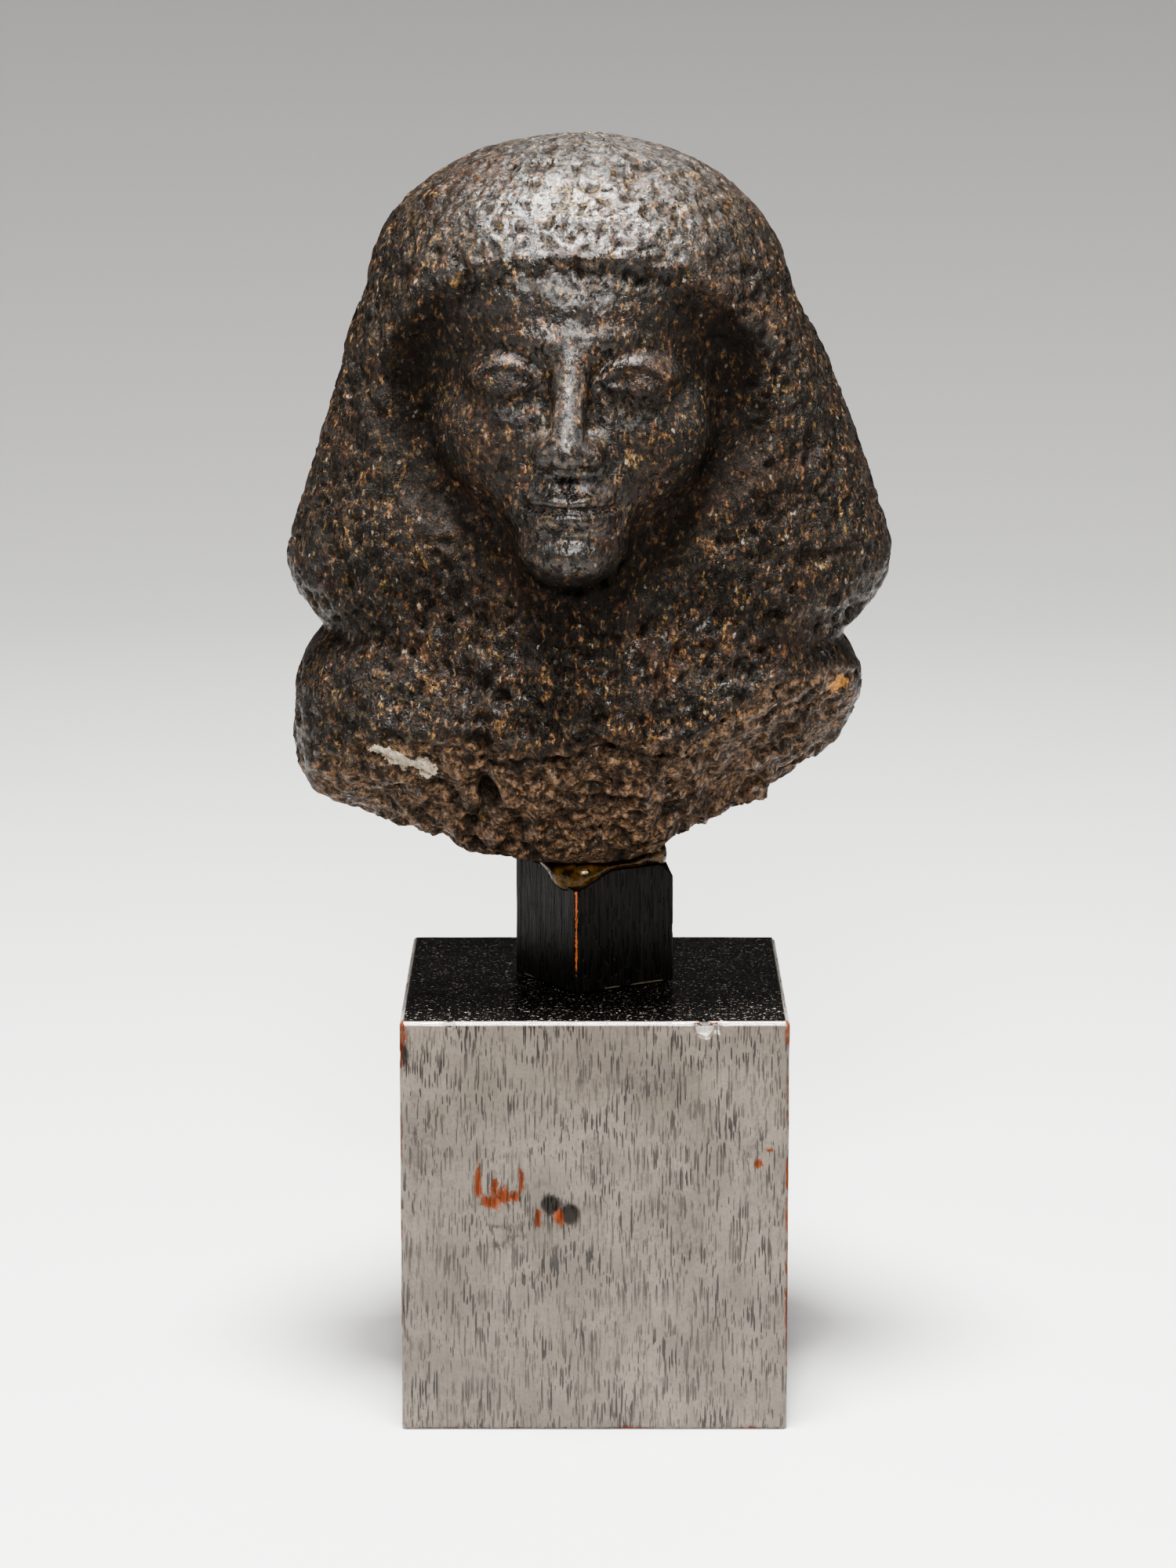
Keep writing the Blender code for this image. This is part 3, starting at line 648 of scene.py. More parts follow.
# granite: rusty and golden flecks on black by noise, small crystals by cells, then the marks over them
def graniteFinish():
    f = Finish("worn speckled granite")
    swayed = f.swayed(1.1, 3.0, (0.7, 0.7, 0.7))
    drawn = f.add("Mapping", {"Vector": swayed, "Scale": (1, 1, 0.62)}).outputs[0]
    flecks = f.noise(1.3, 6.0, 0.72, drawn)
    rusty = f.steps(flecks, (
        (0.44, (0.0015, 0.0012, 0.0011)), (0.50, (0.0045, 0.0034, 0.0027)), (0.54, (0.024, 0.0128, 0.0070)),
        (0.58, (0.088, 0.037, 0.0155)), (0.64, (0.205, 0.098, 0.040)), (0.73, (0.36, 0.27, 0.17)),
    ), False)
    golden = f.steps(flecks, (
        (0.44, (0.0016, 0.0015, 0.0011)), (0.50, (0.0056, 0.0046, 0.0028)), (0.54, (0.031, 0.0205, 0.0080)),
        (0.58, (0.104, 0.060, 0.0170)), (0.64, (0.225, 0.138, 0.048)), (0.73, (0.36, 0.28, 0.17)),
    ), False)
    body = f.mix(f.clouds((3.6, 4.0, 0.6), 0.45, 0.57), rusty, golden)
    crystals = f.cells(0.62, drawn)
    crystal = f.add("SeparateColor", {"Color": crystals["Color"]})
    crystalTone = f.steps(crystal.outputs[0], (
        (0.0, (0.0026, 0.0021, 0.0018)), (0.52, (0.014, 0.0095, 0.0065)), (0.76, (0.070, 0.031, 0.0135)),
        (0.88, (0.170, 0.100, 0.044)), (0.955, (0.24, 0.210, 0.165)),
    ))
    grains = f.mix(f.between(crystal.outputs[1], 0.66, 0.74, (0.05, 0.7)), body, crystalTone)
    warm = f.mix(f.clouds((22, 4.0), 0.48, 0.66, (0.0, 0.26)), grains, (0.066, 0.026, 0.0115))
    dark = f.mix(f.clouds((6.0, 4.0, 0.65), 0.47, 0.60, (0.0, 0.66)), warm, (0.0045, 0.0036, 0.003))
    blots = f.clouds((2.5, 4.0, 0.6, drawn), 0.535, 0.585, (0.0, 0.84))
    blotted = f.mix(blots, dark, (0.003, 0.0025, 0.0021))
    # painted shade in the groove between face and wig
    channelShaded = f.mix(f.times(f.mark("channel"), 0.5), blotted, (0.004, 0.0028, 0.0021))
    # the break's own rusty tone, made lighter as painted light that stands in for light its downward-facing
    # flats don't get
    rust = f.clouds((4.2, 5.0, 0.68), 0.42, 0.58, (0.08, 0.76))
    rustWithPaintedLight = f.mix(f.clouds((1.3, 4.0, 0.7), 0.40, 0.60), (0.037, 0.0235, 0.0155), (0.29, 0.180, 0.110))
    broken = f.mix(f.times(f.mark("broken"), rust), channelShaded, rustWithPaintedLight)
    # painted shade: pits and cut lines darkened in the colour as if shaded
    pit = f.clouds((1.35, 3.0, 0.55, drawn), 0.555, 0.60)
    hollow = f.highest(f.between(f.mark("hollow"), 0.12, 0.6), f.times(pit, 0.8))
    pitted = f.mix(f.times(hollow, 0.62), broken, (0.0035, 0.0025, 0.0019))
    wear = f.clouds((1.1, 3.0), 0.5, 0.58, (0.0, 0.5))
    stained = f.mix(f.times(f.mark("stain"), wear), pitted, (0.30, 0.22, 0.10))
    edge = f.clouds((2.2, 5.0, 0.72), 0.3, 0.7, (-0.36, 0.36))
    chip = f.between(f.plus(f.mark("chip"), edge), 0.36, 0.44, (0.0, 0.92))
    chipTone = f.mix(f.clouds((1.4, 4.0, 0.7), 0.42, 0.62), (0.42, 0.37, 0.29), (0.25, 0.205, 0.15))
    chipped = f.mix(chip, stained, chipTone)
    ochre = f.between(f.plus(f.mark("ochre"), edge), 0.52, 0.60, (0.0, 0.92))
    ochreTone = f.mix(f.clouds((1.4, 4.0, 0.7), 0.42, 0.62), (0.56, 0.29, 0.085), (0.27, 0.12, 0.035))
    spotted = f.mix(ochre, chipped, ochreTone)
    gloss = f.between(f.mark("polish"), 0.0, 1.0, (0.31, 0.24))
    patchy = f.plus(gloss, f.clouds((1.2, 4.0), 0.35, 0.7, (-0.06, 0.16)))
    dull = f.plus(f.times(f.mark("broken"), 0.24), f.times(f.mark("channel"), 0.4))
    matt = f.plus(patchy, dull)
    shallow = f.between(f.mark("polish"), 0.0, 1.0, (1.0, 0.62))
    relief = f.less(f.noise(1.9, 6.0, 0.66, drawn), f.times(pit, 0.22))
    coarse = f.bump(f.times(relief, shallow), 1.35)
    fine = f.bump(f.noise(0.75, 3.0, 0.65, swayed), 0.14, coarse)
    rubbed = f.times(f.mark("polish"), f.between(hollow, 0.0, 0.7, (0.95, 0.1)))
    glints = f.clouds((1.7, 3.0, 0.7, swayed), 0.56, 0.62, (0.0, 0.55))
    bright = f.times(glints, f.between(f.mark("channel"), 0.0, 0.7, (1.0, 0.0)))
    worn = f.bump(relief, 0.42)
    return f.put(
        Base_Color=spotted, Roughness=matt, Normal=fine, IOR=1.5, Specular_IOR_Level=0.26,
        Specular_Tint=(1.0, 0.93, 0.85, 1), Coat_Weight=f.highest(rubbed, bright), Coat_Roughness=0.16,
        Coat_Normal=worn,
    )


# real size of one grid unit in width, depth and height: the solid's box over the span of the surface
def stoneUnits(surface):
    low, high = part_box("granite_head")
    units = np.array(high - low) / np.ptp(surface, axis=0)
    return units, np.array(low) - surface.min(axis=0) * units


def makeStone(surface, rays):
    units, origin = stoneUnits(surface)
    triangles = closedRings(surface, stone["rows"] - 1, stone["columns"])
    points, marks = carveSkin(surface, rays, triangles)
    points = points * units + origin
    finish = graniteFinish()
    addPiece("carved_granite_head", points, triangles, marks, finish, "granite_head")


bareStone, stoneRays = stoneSurface()
makeStone(bareStone, stoneRays)


def turned(plan, turn):  # a plan turned about the upright axis
    along, aside = math.cos(turn), math.sin(turn)
    return plan @ np.array([[along, aside], [-aside, along]])


# plan of a square with rounded corners, as points and outward ways: straight runs, then quarter circles
def squarePlan(side, corner, runs, cornerPoints):
    points, ways = [], []
    for quarter, count in enumerate(runs):
        straight = np.linspace(-1, 1, count) * (side / 2 - corner)
        turn = np.linspace(0, math.pi / 2, cornerPoints + 2)[1:-1]
        edge = np.column_stack([straight, np.full(count, -side / 2)])
        bend = np.column_stack([np.sin(turn), -np.cos(turn)])
        corners = bend * corner + np.array([side / 2 - corner, corner - side / 2])
        points.append(turned(np.concatenate([edge, corners]), quarter * math.pi / 2))
        ways.append(turned(np.concatenate([np.tile([0.0, -1.0], (count, 1)), bend]), quarter * math.pi / 2))
    return np.concatenate(points), np.concatenate(ways)


# a square block of rings from the top's middle, over the edge, down the sides and in under the foot:
# each ring is the plan drawn in by an inset or by a share, at its own height, with the way it faces
def squareBlock(plan, ways, low, high, edge, capRings, sideRows, edgeRows):
    shares = np.linspace(0, 1, capRings + 1)[1:-1]
    bend = np.linspace(0, math.pi / 2, edgeRows)
    sides = np.linspace(high - edge, low + edge, sideRows)[1:-1]
    rows = [(share, edge, high, math.pi / 2) for share in shares]
    rows += [(1, edge * (1 - math.sin(b)), high - edge * (1 - math.cos(b)), math.pi / 2 - b) for b in bend]
    rows += [(1, 0, z, 0) for z in sides]
    rows += [(1, edge * (1 - math.cos(b)), low + edge * (1 - math.sin(b)), -b) for b in bend]
    rows += [(share, edge, low, -math.pi / 2) for share in shares[::-1]]
    points, normals = [], []
    for share, inset, z, tilt in rows:
        ring = (plan - ways * inset) * share
        points.append(np.column_stack([ring, np.full(len(ring), z)]))
        normals.append(np.column_stack([ways * math.cos(tilt), np.full(len(ring), math.sin(tilt))]))
    points += [np.array([[0, 0, high]]), np.array([[0, 0, low]])]
    normals += [np.array([[0, 0, 1.0]]), np.array([[0, 0, -1.0]])]
    return np.concatenate(points), np.concatenate(normals), len(rows)


# block: knocks on its front face, as (x, height, half width, half height, depth), all in mm
block = {
    "edge": 1.2,
    "sidePoints": (190, 64, 48, 64),  # front, then round it
    "cornerPoints": 4,
    "rings": (26, 176, 5),  # on each end, down the sides, and round each edge
    "gouges": (
        (-26.9, 60.5, 0.75, 5.2, 0.16), (-23.6, 55.0, 2.4, 1.7, 0.2), (-21.2, 56.6, 1.9, 1.9, 0.2),
        (-23.2, 58.6, 0.7, 2.4, 0.14), (-16.9, 59.6, 0.6, 2.9, 0.14), (-18.6, 56.6, 1.0, 1.4, 0.14),
        (38.0, 64.2, 0.9, 1.3, 0.12), (40.6, 67.4, 0.8, 0.5, 0.1),
        (-13.1, 51.4, 0.8, 2.2, 0.05), (-8.1, 51.3, 1.2, 1.7, 0.05),
    ),
    # dents, which the finish darkens inside as painted shade
    "dents": (
        (-10.2, 54.2, 2.5, 2.8, 0.34), (-5.9, 52.0, 2.5, 2.9, 0.34),
        (-43.9, 90.0, 1.2, 3.0, 0.3), (-33.5, 97.3, 1.2, 0.8, 0.3),
    ),
    "scuffs": (
        (-40.5, 67.0, 3.2, 7.5, 0.1), (22.0, 43.0, 4.6, 1.9, 0.12), (37.5, 68.0, 3.2, 3.4, 0.1),
        (-20.5, 49.0, 5.0, 0.5, 0.15), (-18.0, 46.8, 4.6, 0.5, 0.12), (-22.0, 44.6, 5.4, 0.5, 0.12),
        (-0.5, 68.0, 2.4, 3.4, 0.08), (-36.5, 62.0, 1.2, 1.2, 0.08), (14.0, 84.0, 9.0, 3.0, 0.04),
    ),
    "chips": ((25.6, 96.4, 2.7, 1.7, 1.2),),
    # red-brown wood rubbed bare along the edges: x, height, half width, half height
    "rubs": (
        (-44.6, 95.0, 1.3, 5.5), (44.7, 96.0, 1.1, 4.0), (-45.0, 48.0, 0.5, 3.4), (-45.0, 29.0, 0.5, 5.0),
        (45.0, 32.0, 0.6, 19.0), (45.0, 62.0, 0.45, 6.0), (-45.0, 70.0, 0.4, 6.0),
    ),
}


# round marks on the front face at each place: the strongest of them, and their depths summed
def faceSpots(p, places, uneven=0.35, rim=(0.7, 1.15)):
    x, y, z = p.T / mm
    atFront = ramp(-y, 40, 44)
    strongest, depth = np.zeros(len(p)), np.zeros(len(p))
    for at, height, halfWide, halfHigh, deep in places:
        ragged = 1 + uneven * lumps(p / mm, 1.6, int(abs(at) * 10))
        inside = atFront * (1 - ramp(np.hypot((x - at) / halfWide, (z - height) / halfHigh) * ragged, *rim))
        strongest = np.maximum(strongest, inside)
        depth += deep * inside
    return strongest, depth


def carveBlock(points, normals, size):
    p = points / mm
    _, knockDepth = faceSpots(points, block["gouges"])
    dented, dentDepth = faceSpots(points, block["dents"], 0.12)
    scuffed, scuffDepth = faceSpots(points, block["scuffs"])
    chipped, chipDepth = faceSpots(points, block["chips"])
    wave = 0.06 * lumps(p, 14, 5) + 0.04 * lumps(p, 5, 6)
    edgeness = np.sort(np.abs(points - np.array([0, 0, size.z / 2])) / (np.array(size) / 2), axis=1)[:, 1]
    atEdge = ramp(edgeness, 0.972, 0.995)
    rubbed, _ = faceSpots(points, [place + (0,) for place in block["rubs"]])
    splintered, _ = faceSpots(points, block["gouges"], rim=(0.3, 1.7))
    worn = ramp(lumps(p, 9, 15) + 0.5 * lumps(p, 3, 16) + 1.2 * atEdge, 1.15, 1.6) * atEdge
    ground = 1 - ramp(points[:, 2], 0.0, 1.5 * mm)
    cut = 0.12 + wave + knockDepth + dentDepth + scuffDepth + chipDepth + 0.3 * worn
    cut = cut * (1 - ground)
    # dented gives painted shade in the dents, half of it also through the scuffs; top gives painted shade on
    # the top face; edge gives a painted highlight along the top edge
    marks = {
        "bare": np.clip(splintered + 0.8 * worn + 0.75 * rubbed, 0, 1),
        "scuffed": np.clip(scuffed + 0.5 * dented, 0, 1),
        "dented": dented, "chipped": chipped,
        "top": ramp(normals[:, 2], 0.75, 0.98),
        "edge": ramp(normals[:, 2], 0.05, 0.3) * (1 - ramp(normals[:, 2], 0.9, 0.99)),
    }
    return points - normals * (cut * mm)[:, None], marks


# upright grain for both woods: fibres, and dashes in cells drawn out along the height
def grain(f, poreSize, poreReach, share):
    fibres = f.noise(0.9, 5.0, 0.65, f.stretched((1.3, 1.3, 0.045)))
    waved = f.swayed(0.09, 2.0, (0.5, 0.5, 6.0))
    pore = None
    for step in range(3):  # three sets of dashes, each longer than the last and set apart
        size = poreSize * (1 + 0.15 * step)
        scale = (1 / size, 1 / size, 1 / (poreSize * poreReach * (0.7 + 0.4 * step)))
        moved = {"Vector": waved, "Scale": scale, "Location": (3.7 * step, 1.9 * step, 5.3 * step)}
        dashes = f.cells(1.0, f.add("Mapping", moved).outputs[0])
        chosen = f.add("SeparateColor", {"Color": dashes["Color"]}).outputs[step]
        dash = f.times(f.between(dashes["Distance"], 0.34, 0.27), f.between(chosen, 1 - share, 1.03 - share))
        pore = f.highest(pore, dash) if pore else dash
    return fibres, pore


def blockFinish():
    f = Finish("ebonised block lacquer")
    fibres, longPores = grain(f, 0.56, 13.0, 0.42)
    shortPores = grain(f, 0.42, 9.0, 0.30)[1]
    crowd = f.clouds((11, 3.0), 0.40, 0.60, (0.45, 1.0))
    pore = f.times(f.highest(longPores, f.times(shortPores, 0.7)), crowd)
    # painted sheen: the dark lacquer's ground is lightened to a grey-taupe that stands in for its satin sheen
    # where lit
    ground = f.mix(f.clouds((17, 5.0, 0.6), 0.38, 0.64), (0.090, 0.074, 0.059), (0.132, 0.110, 0.089))
    lined = f.mix(f.between(fibres, 0.48, 0.66, (0.0, 0.35)), ground, (0.055, 0.045, 0.038))
    grubby = f.mix(f.clouds((3.4, 6.0, 0.75), 0.54, 0.70, (0.0, 0.6)), lined, (0.045, 0.037, 0.032))
    dusty = f.mix(f.clouds((0.8, 4.0, 0.75), 0.46, 0.58, (0.0, 0.30)), grubby, (0.048, 0.040, 0.034))
    scuffs = f.times(f.mark("scuffed"), f.clouds((1.6, 4.0, 0.7), 0.38, 0.62))
    scuffed = f.mix(f.times(scuffs, 0.5), dusty, (0.040, 0.034, 0.030))
    # painted shade: the top is made near black, far darker than the sides, with small pale specks on it
    specks = f.clouds((0.9, 4.0, 0.75), 0.60, 0.63, (0.0, 0.9))
    topShadeTone = f.mix(specks, (0.004, 0.0036, 0.0033), (0.30, 0.26, 0.22))
    shadedTop = f.mix(f.mark("top"), scuffed, topShadeTone)
    # painted shade inside the dents
    dentShade = f.mix(f.times(f.mark("dented"), 0.94), shadedTop, (0.028, 0.025, 0.023))
    inChip = f.mix(f.between(f.mark("chipped"), 0.5, 0.8, (0.0, 0.85)), dentShade, (0.36, 0.34, 0.31))
    # painted highlight: a pale line along the rounded top edge
    bright = f.mix(f.times(f.mark("edge"), 0.8), inChip, (0.30, 0.28, 0.255))
    covered = f.highest(f.mark("chipped"), f.highest(f.mark("top"), f.mark("edge")))
    uncovered = f.less(0.95, f.between(covered, 0.0, 0.5))
    pored = f.mix(f.times(pore, uncovered), bright, (0.008, 0.0065, 0.0055))
    splinters = f.noise(0.8, 5.0, 0.75, f.stretched((1.0, 1.0, 0.4)))
    ragged = f.plus(f.mark("bare"), f.between(splinters, 0.34, 0.66, (-0.55, 0.45)))
    bareWood = f.mix(f.between(fibres, 0.42, 0.6), (0.140, 0.044, 0.020), (0.062, 0.019, 0.010))
    bared = f.mix(f.between(ragged, 0.42, 0.58), pored, bareWood)
    satin = f.clouds((5.0, 4.0, 0.6), 0.3, 0.7, (0.28, 0.40))
    marred = f.highest(f.mark("dented"), f.mark("bare"))
    dulled = f.times(marred, 0.3)
    worn = f.plus(f.plus(satin, dulled), f.times(f.mark("scuffed"), 0.12))
    gloss = f.mix(f.mark("edge"), worn, (0.2, 0.2, 0.2))
    sheen = f.less(0.6, f.times(f.highest(f.mark("top"), marred), 0.56))
    height = f.less(f.times(fibres, 0.35), pore)
    relief = f.bump(height, 0.13)
    return f.put(Base_Color=bared, Roughness=gloss, Normal=relief, IOR=1.5, Specular_IOR_Level=sheen)


def makeBlock():
    low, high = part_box("base_block")
    size = high - low
    edge = block["edge"] * mm
    plan, ways = squarePlan(size.x, edge, block["sidePoints"], block["cornerPoints"])
    points, normals, rings = squareBlock(plan, ways, low.z, high.z, edge, *block["rings"])
    triangles = closedRings(points, rings, len(plan))
    points, marks = carveBlock(points, normals, size)
    finish = blockFinish()
    addPiece("ebonised_base_block", points, triangles, marks, finish, "base_block")


makeBlock()


# post: turned on the block, hollowed towards its front corner and pared at its right one
post = {
    "side": 27.6,
    "corner": 0.8,
    "edge": 0.35,
    "sidePoints": (72, 72, 60, 60),
    "cornerPoints": 4,
    "rings": (14, 84, 4),
    "turn": math.radians(32),
    "hollow": 4.0,
    "paring": 3.2,
    "bareWidth": 0.42,  # of the worn line down its front corner
    "cornerFrom": 17.2,  # how far from the middle a corner's wear starts
}


# height of the post's top: level, less a bowl around the front corner and a bevel at the right one
def postTop(plan, level):
    reach = post["side"] * mm / math.sqrt(2)
    lean = post["turn"] - math.pi / 4
    front = np.array([math.sin(lean), -math.cos(lean)]) * reach
    right = np.array([math.cos(lean), math.sin(lean)]) * reach
    side = post["side"] * mm
    bowl = 1 - ramp(np.linalg.norm(plan - front, axis=1), 0, 0.42 * side)
    bevel = 1 - ramp(np.linalg.norm(plan - right, axis=1), 0, 0.16 * side)
    return level - (post["hollow"] * bowl + post["paring"] * bevel) * mm


def postFinish():
    f = Finish("ebonised post wood")
    fibres, pore = grain(f, 0.8, 9.0, 0.6)
    # the ebonised wood's own black, darkened further as painted shade from the head above
    ground = f.mix(f.between(fibres, 0.35, 0.7), (0.0035, 0.0032, 0.003), (0.014, 0.012, 0.0105))
    pored = f.mix(f.times(pore, 0.9), ground, (0.003, 0.0025, 0.002))
    ragged = f.plus(f.mark("bare"), f.clouds((0.9, 4.0, 0.7), 0.3, 0.7, (-0.35, 0.35)))
    bared = f.mix(f.between(ragged, 0.45, 0.6), pored, (0.30, 0.085, 0.028))
    glued = f.mix(f.between(f.mark("glue"), 0.4, 0.7, (0.0, 0.6)), bared, (0.16, 0.13, 0.09))
    lines = f.noise(0.7, 3.0, 0.6, f.stretched((1.5, 1.5, 0.06)))
    relief = f.bump(f.less(lines, pore), 0.25)
    return f.put(Base_Color=glued, Roughness=f.between(lines, 0.35, 0.7, (0.34, 0.5)), Normal=relief, IOR=1.5,
                 Specular_IOR_Level=0.18)


# the post's skin: upright grooves and low lumps, bare wood along its front corner and glue at its foot
def carvePost(points, normals, foot):
    p = points / mm
    height = p[:, 2] - foot / mm
    onSide = np.abs(normals[:, 2]) < 0.5
    grooves = np.abs(lumps(p * np.array([1, 1, 0.04]), 0.9, 23)) * onSide
    frontCorner = turned(np.array([[-1.0, -1.0]]), post["turn"])[0] * (post["side"] / 2 - 0.2)
    atFront = bell(np.linalg.norm(p[:, :2] - frontCorner, axis=1), post["bareWidth"]) * ramp(height, 3, 6)
    bare = atFront * ramp(lumps(p, 4, 25) + 0.8, 0.1, 0.7)
    glue = (1 - ramp(height, 0.2, 1.0)) * ramp(lumps(p, 5, 27), -0.2, 0.3)
    facing = np.arctan2(*turned(normals[:, :2], -post["turn"]).T[::-1])
    outer = np.hypot(p[:, 0], p[:, 1]) > post["cornerFrom"]
    atRight = bell(facing + math.pi / 4, 0.5) * outer
    bare = np.maximum(bare, 0.6 * atRight * ramp(lumps(p, 3, 26), 0.3, 0.7))
    cut = 0.02 + 0.15 * grooves + 0.03 * (1 + lumps(p, 6, 24)) + 0.25 * bare
    return points - normals * (cut * mm)[:, None], {"bare": bare, "glue": glue}


def makePost():
    low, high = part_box("mount_post")
    tall = high.z - low.z
    plan, ways = squarePlan(post["side"] * mm, post["corner"] * mm, post["sidePoints"], post["cornerPoints"])
    plan, ways = turned(plan, post["turn"]), turned(ways, post["turn"])
    points, normals, rings = squareBlock(plan, ways, 0.0, tall, post["edge"] * mm, *post["rings"])
    triangles = closedRings(points, rings, len(plan))
    points[:, 2] = low.z + points[:, 2] / tall * postTop(points[:, :2], tall)
    points, marks = carvePost(points, normals, low.z)
    addPiece("ebonised_mount_post", points, triangles, marks, postFinish(), "mount_post")


makePost()


# resin: squeezed out between the post's top and the stone's underside
resin = {
    "squareness": 5.0,  # of its plan, a square with very round corners
    "bulge": 0.9,  # how far its wall swells, mm
    "drawnIn": 1.1,  # how far it is drawn in towards the stone, mm
    "spill": 1.6, "drop": 2.4, "spillAt": (-9, -13), "spillReach": 5.5,  # run over the post's edge, mm
    "points": 160,
    "wallRows": 22,
    "capRings": 16,
    "intoStone": 0.7,  # bedded into the stone's rough underside, mm
}


# the stone's underside over the post: the highest of the break's flats there
def undersideHeight(plan, units, origin):
    heights = []
    for through, facing in stone["breakFlats"]:
        slant = ((plan - origin[:2]) / units[:2] - np.array(through[:2])) @ np.array(facing[:2])
        heights.append(through[2] - slant / facing[2])
    return origin[2] + np.max(heights, axis=0) * units[2]


def resinFinish():
    f = Finish("amber resin")
    clouds = f.noise(3.5, 4.0, 0.6)
    body = f.mix(f.between(clouds, 0.38, 0.68), (0.009, 0.0055, 0.0025), (0.085, 0.043, 0.010))
    dirt = f.mix(f.clouds((1.2, 3.0), 0.52, 0.66, (0.0, 0.7)), body, (0.010, 0.007, 0.005))
    relief = f.bump(f.noise(1.6, 3.0, 0.5), 0.3)
    return f.put(
        Base_Color=dirt, Roughness=0.24, Normal=relief, IOR=1.5, Specular_IOR_Level=0.35,
        Specular_Tint=(1.0, 0.82, 0.55, 1),
    )


# resin: the post's rounded plan swollen by a sine of the level and drawn in towards the stone by its cube,
# between the post's top and the stone's underside
def makeResin(surface):
    _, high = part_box("mount_post")
    units, origin = stoneUnits(surface)
    count = resin["points"]
    turn = np.arange(count) * 2 * math.pi / count
    around = np.stack([np.cos(turn), np.sin(turn)], axis=1)
    around = around / roundedOval(*around.T, resin["squareness"])[:, None]
    around = turned(around * post["side"] * mm / 2, post["turn"])
    outward = around / np.linalg.norm(around, axis=1, keepdims=True)
    wobble = lumps(np.column_stack([around / mm, np.zeros(count)]), 6, 31)
    spill = bell(np.linalg.norm(around / mm - np.array(resin["spillAt"]), axis=1), resin["spillReach"])
    shares = np.linspace(0, 1, resin["capRings"] + 1)[1:-1]
    rings = [(share, 1.0) for share in shares]
    rings += [(1.0, level) for level in np.linspace(1, 0, resin["wallRows"])]
    rings += [(share, 0.0) for share in shares[::-1]]
    rings += [(0.0, 1.0), (0.0, 0.0)]
    points = []
    for share, level in rings:
        swell = resin["bulge"] * math.sin(math.pi * level) - resin["drawnIn"] * (0.4 + level**3)
        swell = swell + 0.4 * wobble + resin["spill"] * spill * (1 - level)
        plan = (around + outward * swell[:, None] * mm) * share
        plan = plan[:1] if share == 0 else plan
        over = spill * (1 - level) if share == 1 else 0
        bottom = postTop(plan, high.z) + (0.05 - resin["drop"] * over) * mm
        top = np.maximum(undersideHeight(plan, units, origin) + resin["intoStone"] * mm, bottom + 0.4 * mm)
        points.append(np.column_stack([plan, bottom + level * (top - bottom)]))
    points = np.concatenate(points)
    triangles = closedRings(points, len(rings) - 2, count)
    flat = points * np.array([1, 1, 0])
    out = flat / (np.linalg.norm(flat, axis=1, keepdims=True) + 1e-9)
    points = points + out * (0.25 * lumps(points / mm, 2.4, 33) * mm)[:, None]
    addPiece("squeezed_resin_bed", points, triangles, {}, resinFinish(), "resin_bed")


makeResin(bareStone)


# studio: pale floor that sweeps up into a backdrop, soft lights, and the camera
studio = {
    "floorTone": (0.50, 0.495, 0.485),
    "seen": (1.2, 2.0, 5.0),  # radius of the level part, of the curve, and height of the wall, in metres
    "lit": (-0.5, 1.9, 1.5, 3.0),  # front edge, back, curve, wall
    "litHalf": 1.5,
    "air": 0.05,  # light from all around
    "lights": (  # name, place, size, power
        ("high", (-0.03, -0.20, 1.34), 0.34, 62.0),
        ("front", (-0.05, -1.24, 0.94), 0.32, 32.0),
        ("left", (-1.25, 0.10, 0.65), 0.5, 5.0),
        ("right", (1.20, 0.15, 0.70), 0.5, 6.0),
        ("back", (0.20, 1.20, 1.40), 0.8, 6.0),
    ),
    "camera": (-1.5, -1092.7, 353.4),  # mm
    "pitch": 10.8,  # degrees below level
    "lens": 107.7,
}


# pale floor: a level run, then a quarter circle up into a wall
def floorProfile(front, back, radius, wall):
    bend = np.linspace(0, math.pi / 2, 24)
    curve = np.column_stack([back + radius * np.sin(bend), radius * (1 - np.cos(bend))])
    return np.concatenate([[(front, 0.0)], curve, [(back + radius, wall)]])


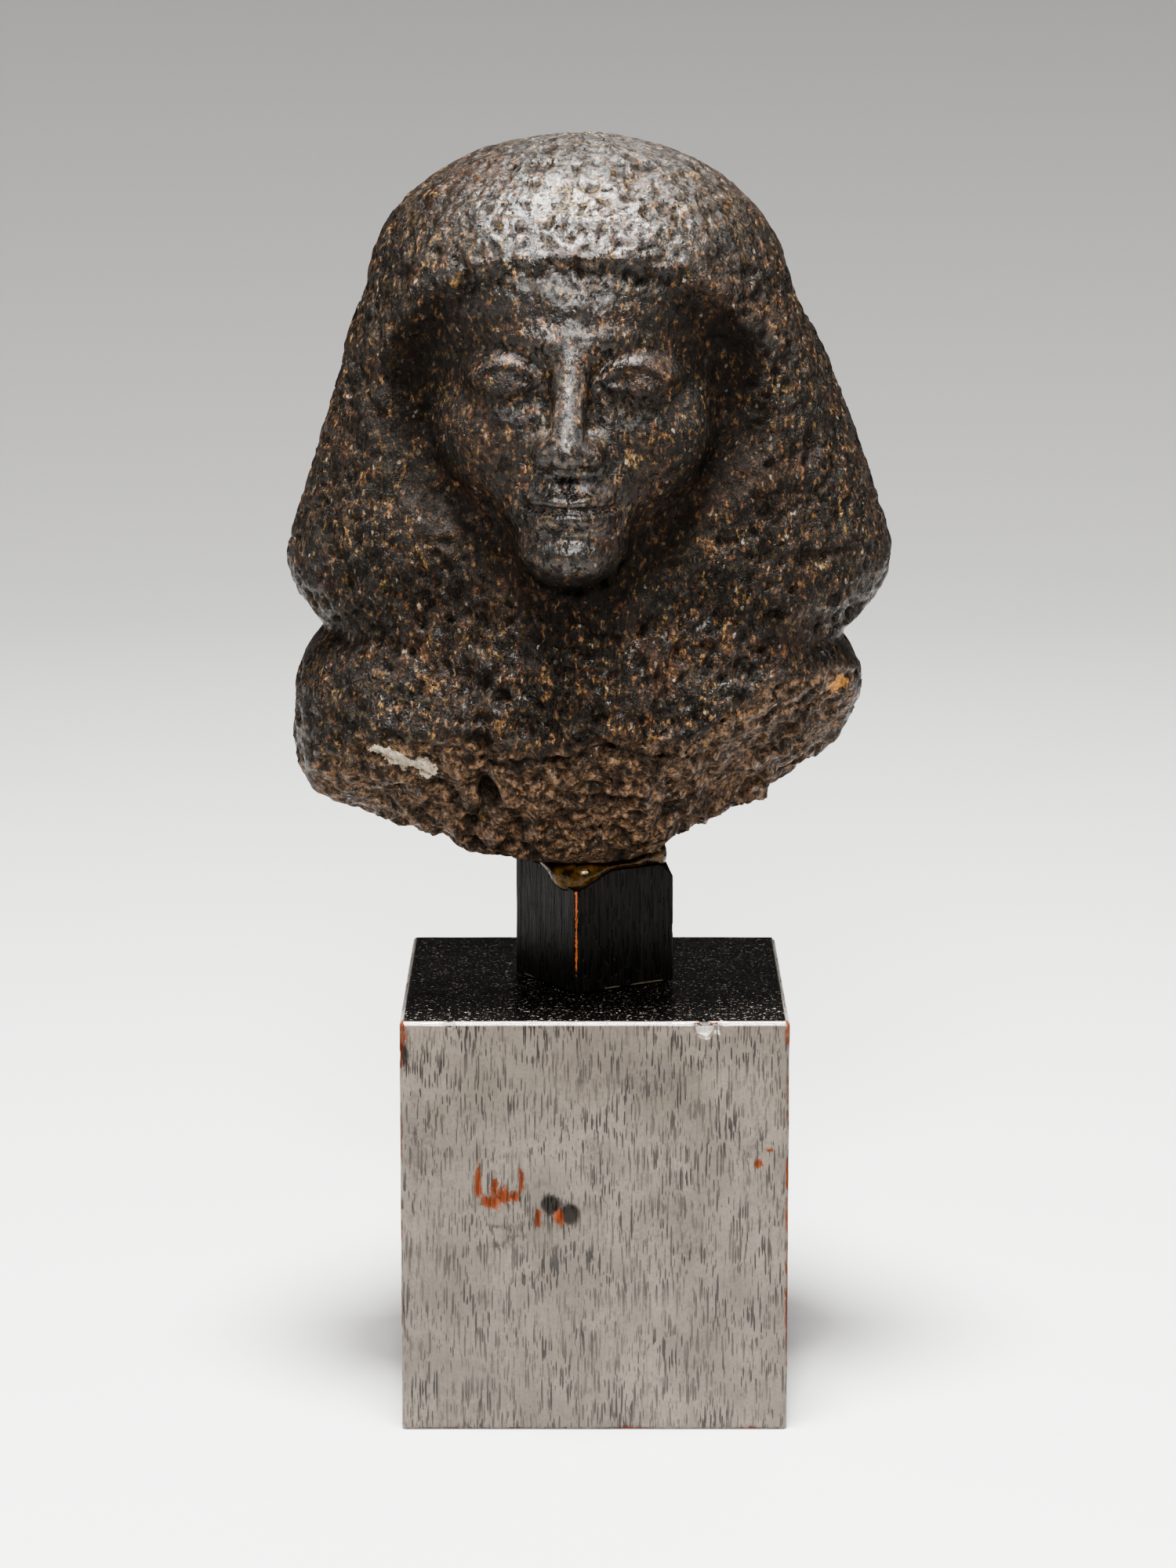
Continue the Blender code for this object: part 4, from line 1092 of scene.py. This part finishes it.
# rows of points joined into a sheet of fours
def addFloor(name, rows, drop):
    count = rows.shape[1]
    index = np.arange(rows.shape[0] * count).reshape(rows.shape[0], count)
    fours = np.stack([index[:-1, :-1], index[1:, :-1], index[1:, 1:], index[:-1, 1:]], axis=-1).reshape(-1, 4)
    mesh = bpy.data.meshes.new(name)
    mesh.from_pydata((rows.reshape(-1, 3) - np.array([0, 0, drop])).tolist(), [], fours.tolist())
    mesh.shade_smooth()
    tone = bpy.data.materials.new(name)
    tone.use_nodes = True
    shader = tone.node_tree.nodes["Principled BSDF"]
    shader.inputs["Base Color"].default_value = (*studio["floorTone"], 1)
    shader.inputs["Roughness"].default_value = 0.75
    mesh.materials.append(tone)
    floor = bpy.data.objects.new(name, mesh)
    bpy.context.scene.collection.objects.link(floor)
    return floor


# the floor that is seen is the profile turned once round; the one that throws light back runs straight across
# just under it, and stops short of the front, so that the dark stone isn't veiled by its reflection
def makeFloor():
    profile = floorProfile(0.0, *studio["seen"])
    turn = np.linspace(0, 2 * math.pi, 97)[:, None]
    swept = [np.cos(turn) * profile[:, 0], np.sin(turn) * profile[:, 0], profile[:, 1] + 0 * turn]
    seen = addFloor("floor", np.stack(swept, axis=-1), 0.0)
    seen.visible_diffuse = seen.visible_glossy = False
    profile = floorProfile(*studio["lit"])
    halfWidth = studio["litHalf"]
    across = [np.column_stack([np.full(len(profile), x), profile]) for x in (-halfWidth, halfWidth)]
    lit = addFloor("floor bounce", np.stack(across), 0.001)
    lit.visible_camera = False
    seen.visible_shadow = lit.visible_shadow = False


def makeLights():
    for name, place, size, power in studio["lights"]:
        data = bpy.data.lights.new(name, "AREA")
        data.shape = "DISK"
        data.size = size
        data.energy = power
        lamp = bpy.data.objects.new(name, data)
        bpy.context.scene.collection.objects.link(lamp)
        lamp.location = place
        lamp.rotation_euler = (Vector((0, 0, 0.17)) - Vector(place)).to_track_quat("-Z", "Y").to_euler()
    world = bpy.data.worlds.new("studio air")
    world.use_nodes = True
    background = world.node_tree.nodes["Background"]
    background.inputs["Color"].default_value = (1.0, 0.98, 0.95, 1)
    background.inputs["Strength"].default_value = studio["air"]
    bpy.context.scene.world = world


def setTone():  # a little more depth in the darks, as the stone needs
    bpy.context.scene.view_settings.view_transform = "AgX"
    bpy.context.scene.view_settings.look = "AgX - High Contrast"


def makeCamera():
    data = bpy.data.cameras.new("camera")
    data.lens = studio["lens"]
    data.sensor_width = 36
    camera = bpy.data.objects.new("camera", data)
    bpy.context.scene.collection.objects.link(camera)
    camera.location = Vector(studio["camera"]) * mm
    camera.rotation_euler = (math.radians(90 - studio["pitch"]), 0, 0)
    bpy.context.scene.camera = camera


makeFloor()
makeLights()
setTone()
makeCamera()

print("scene ready")
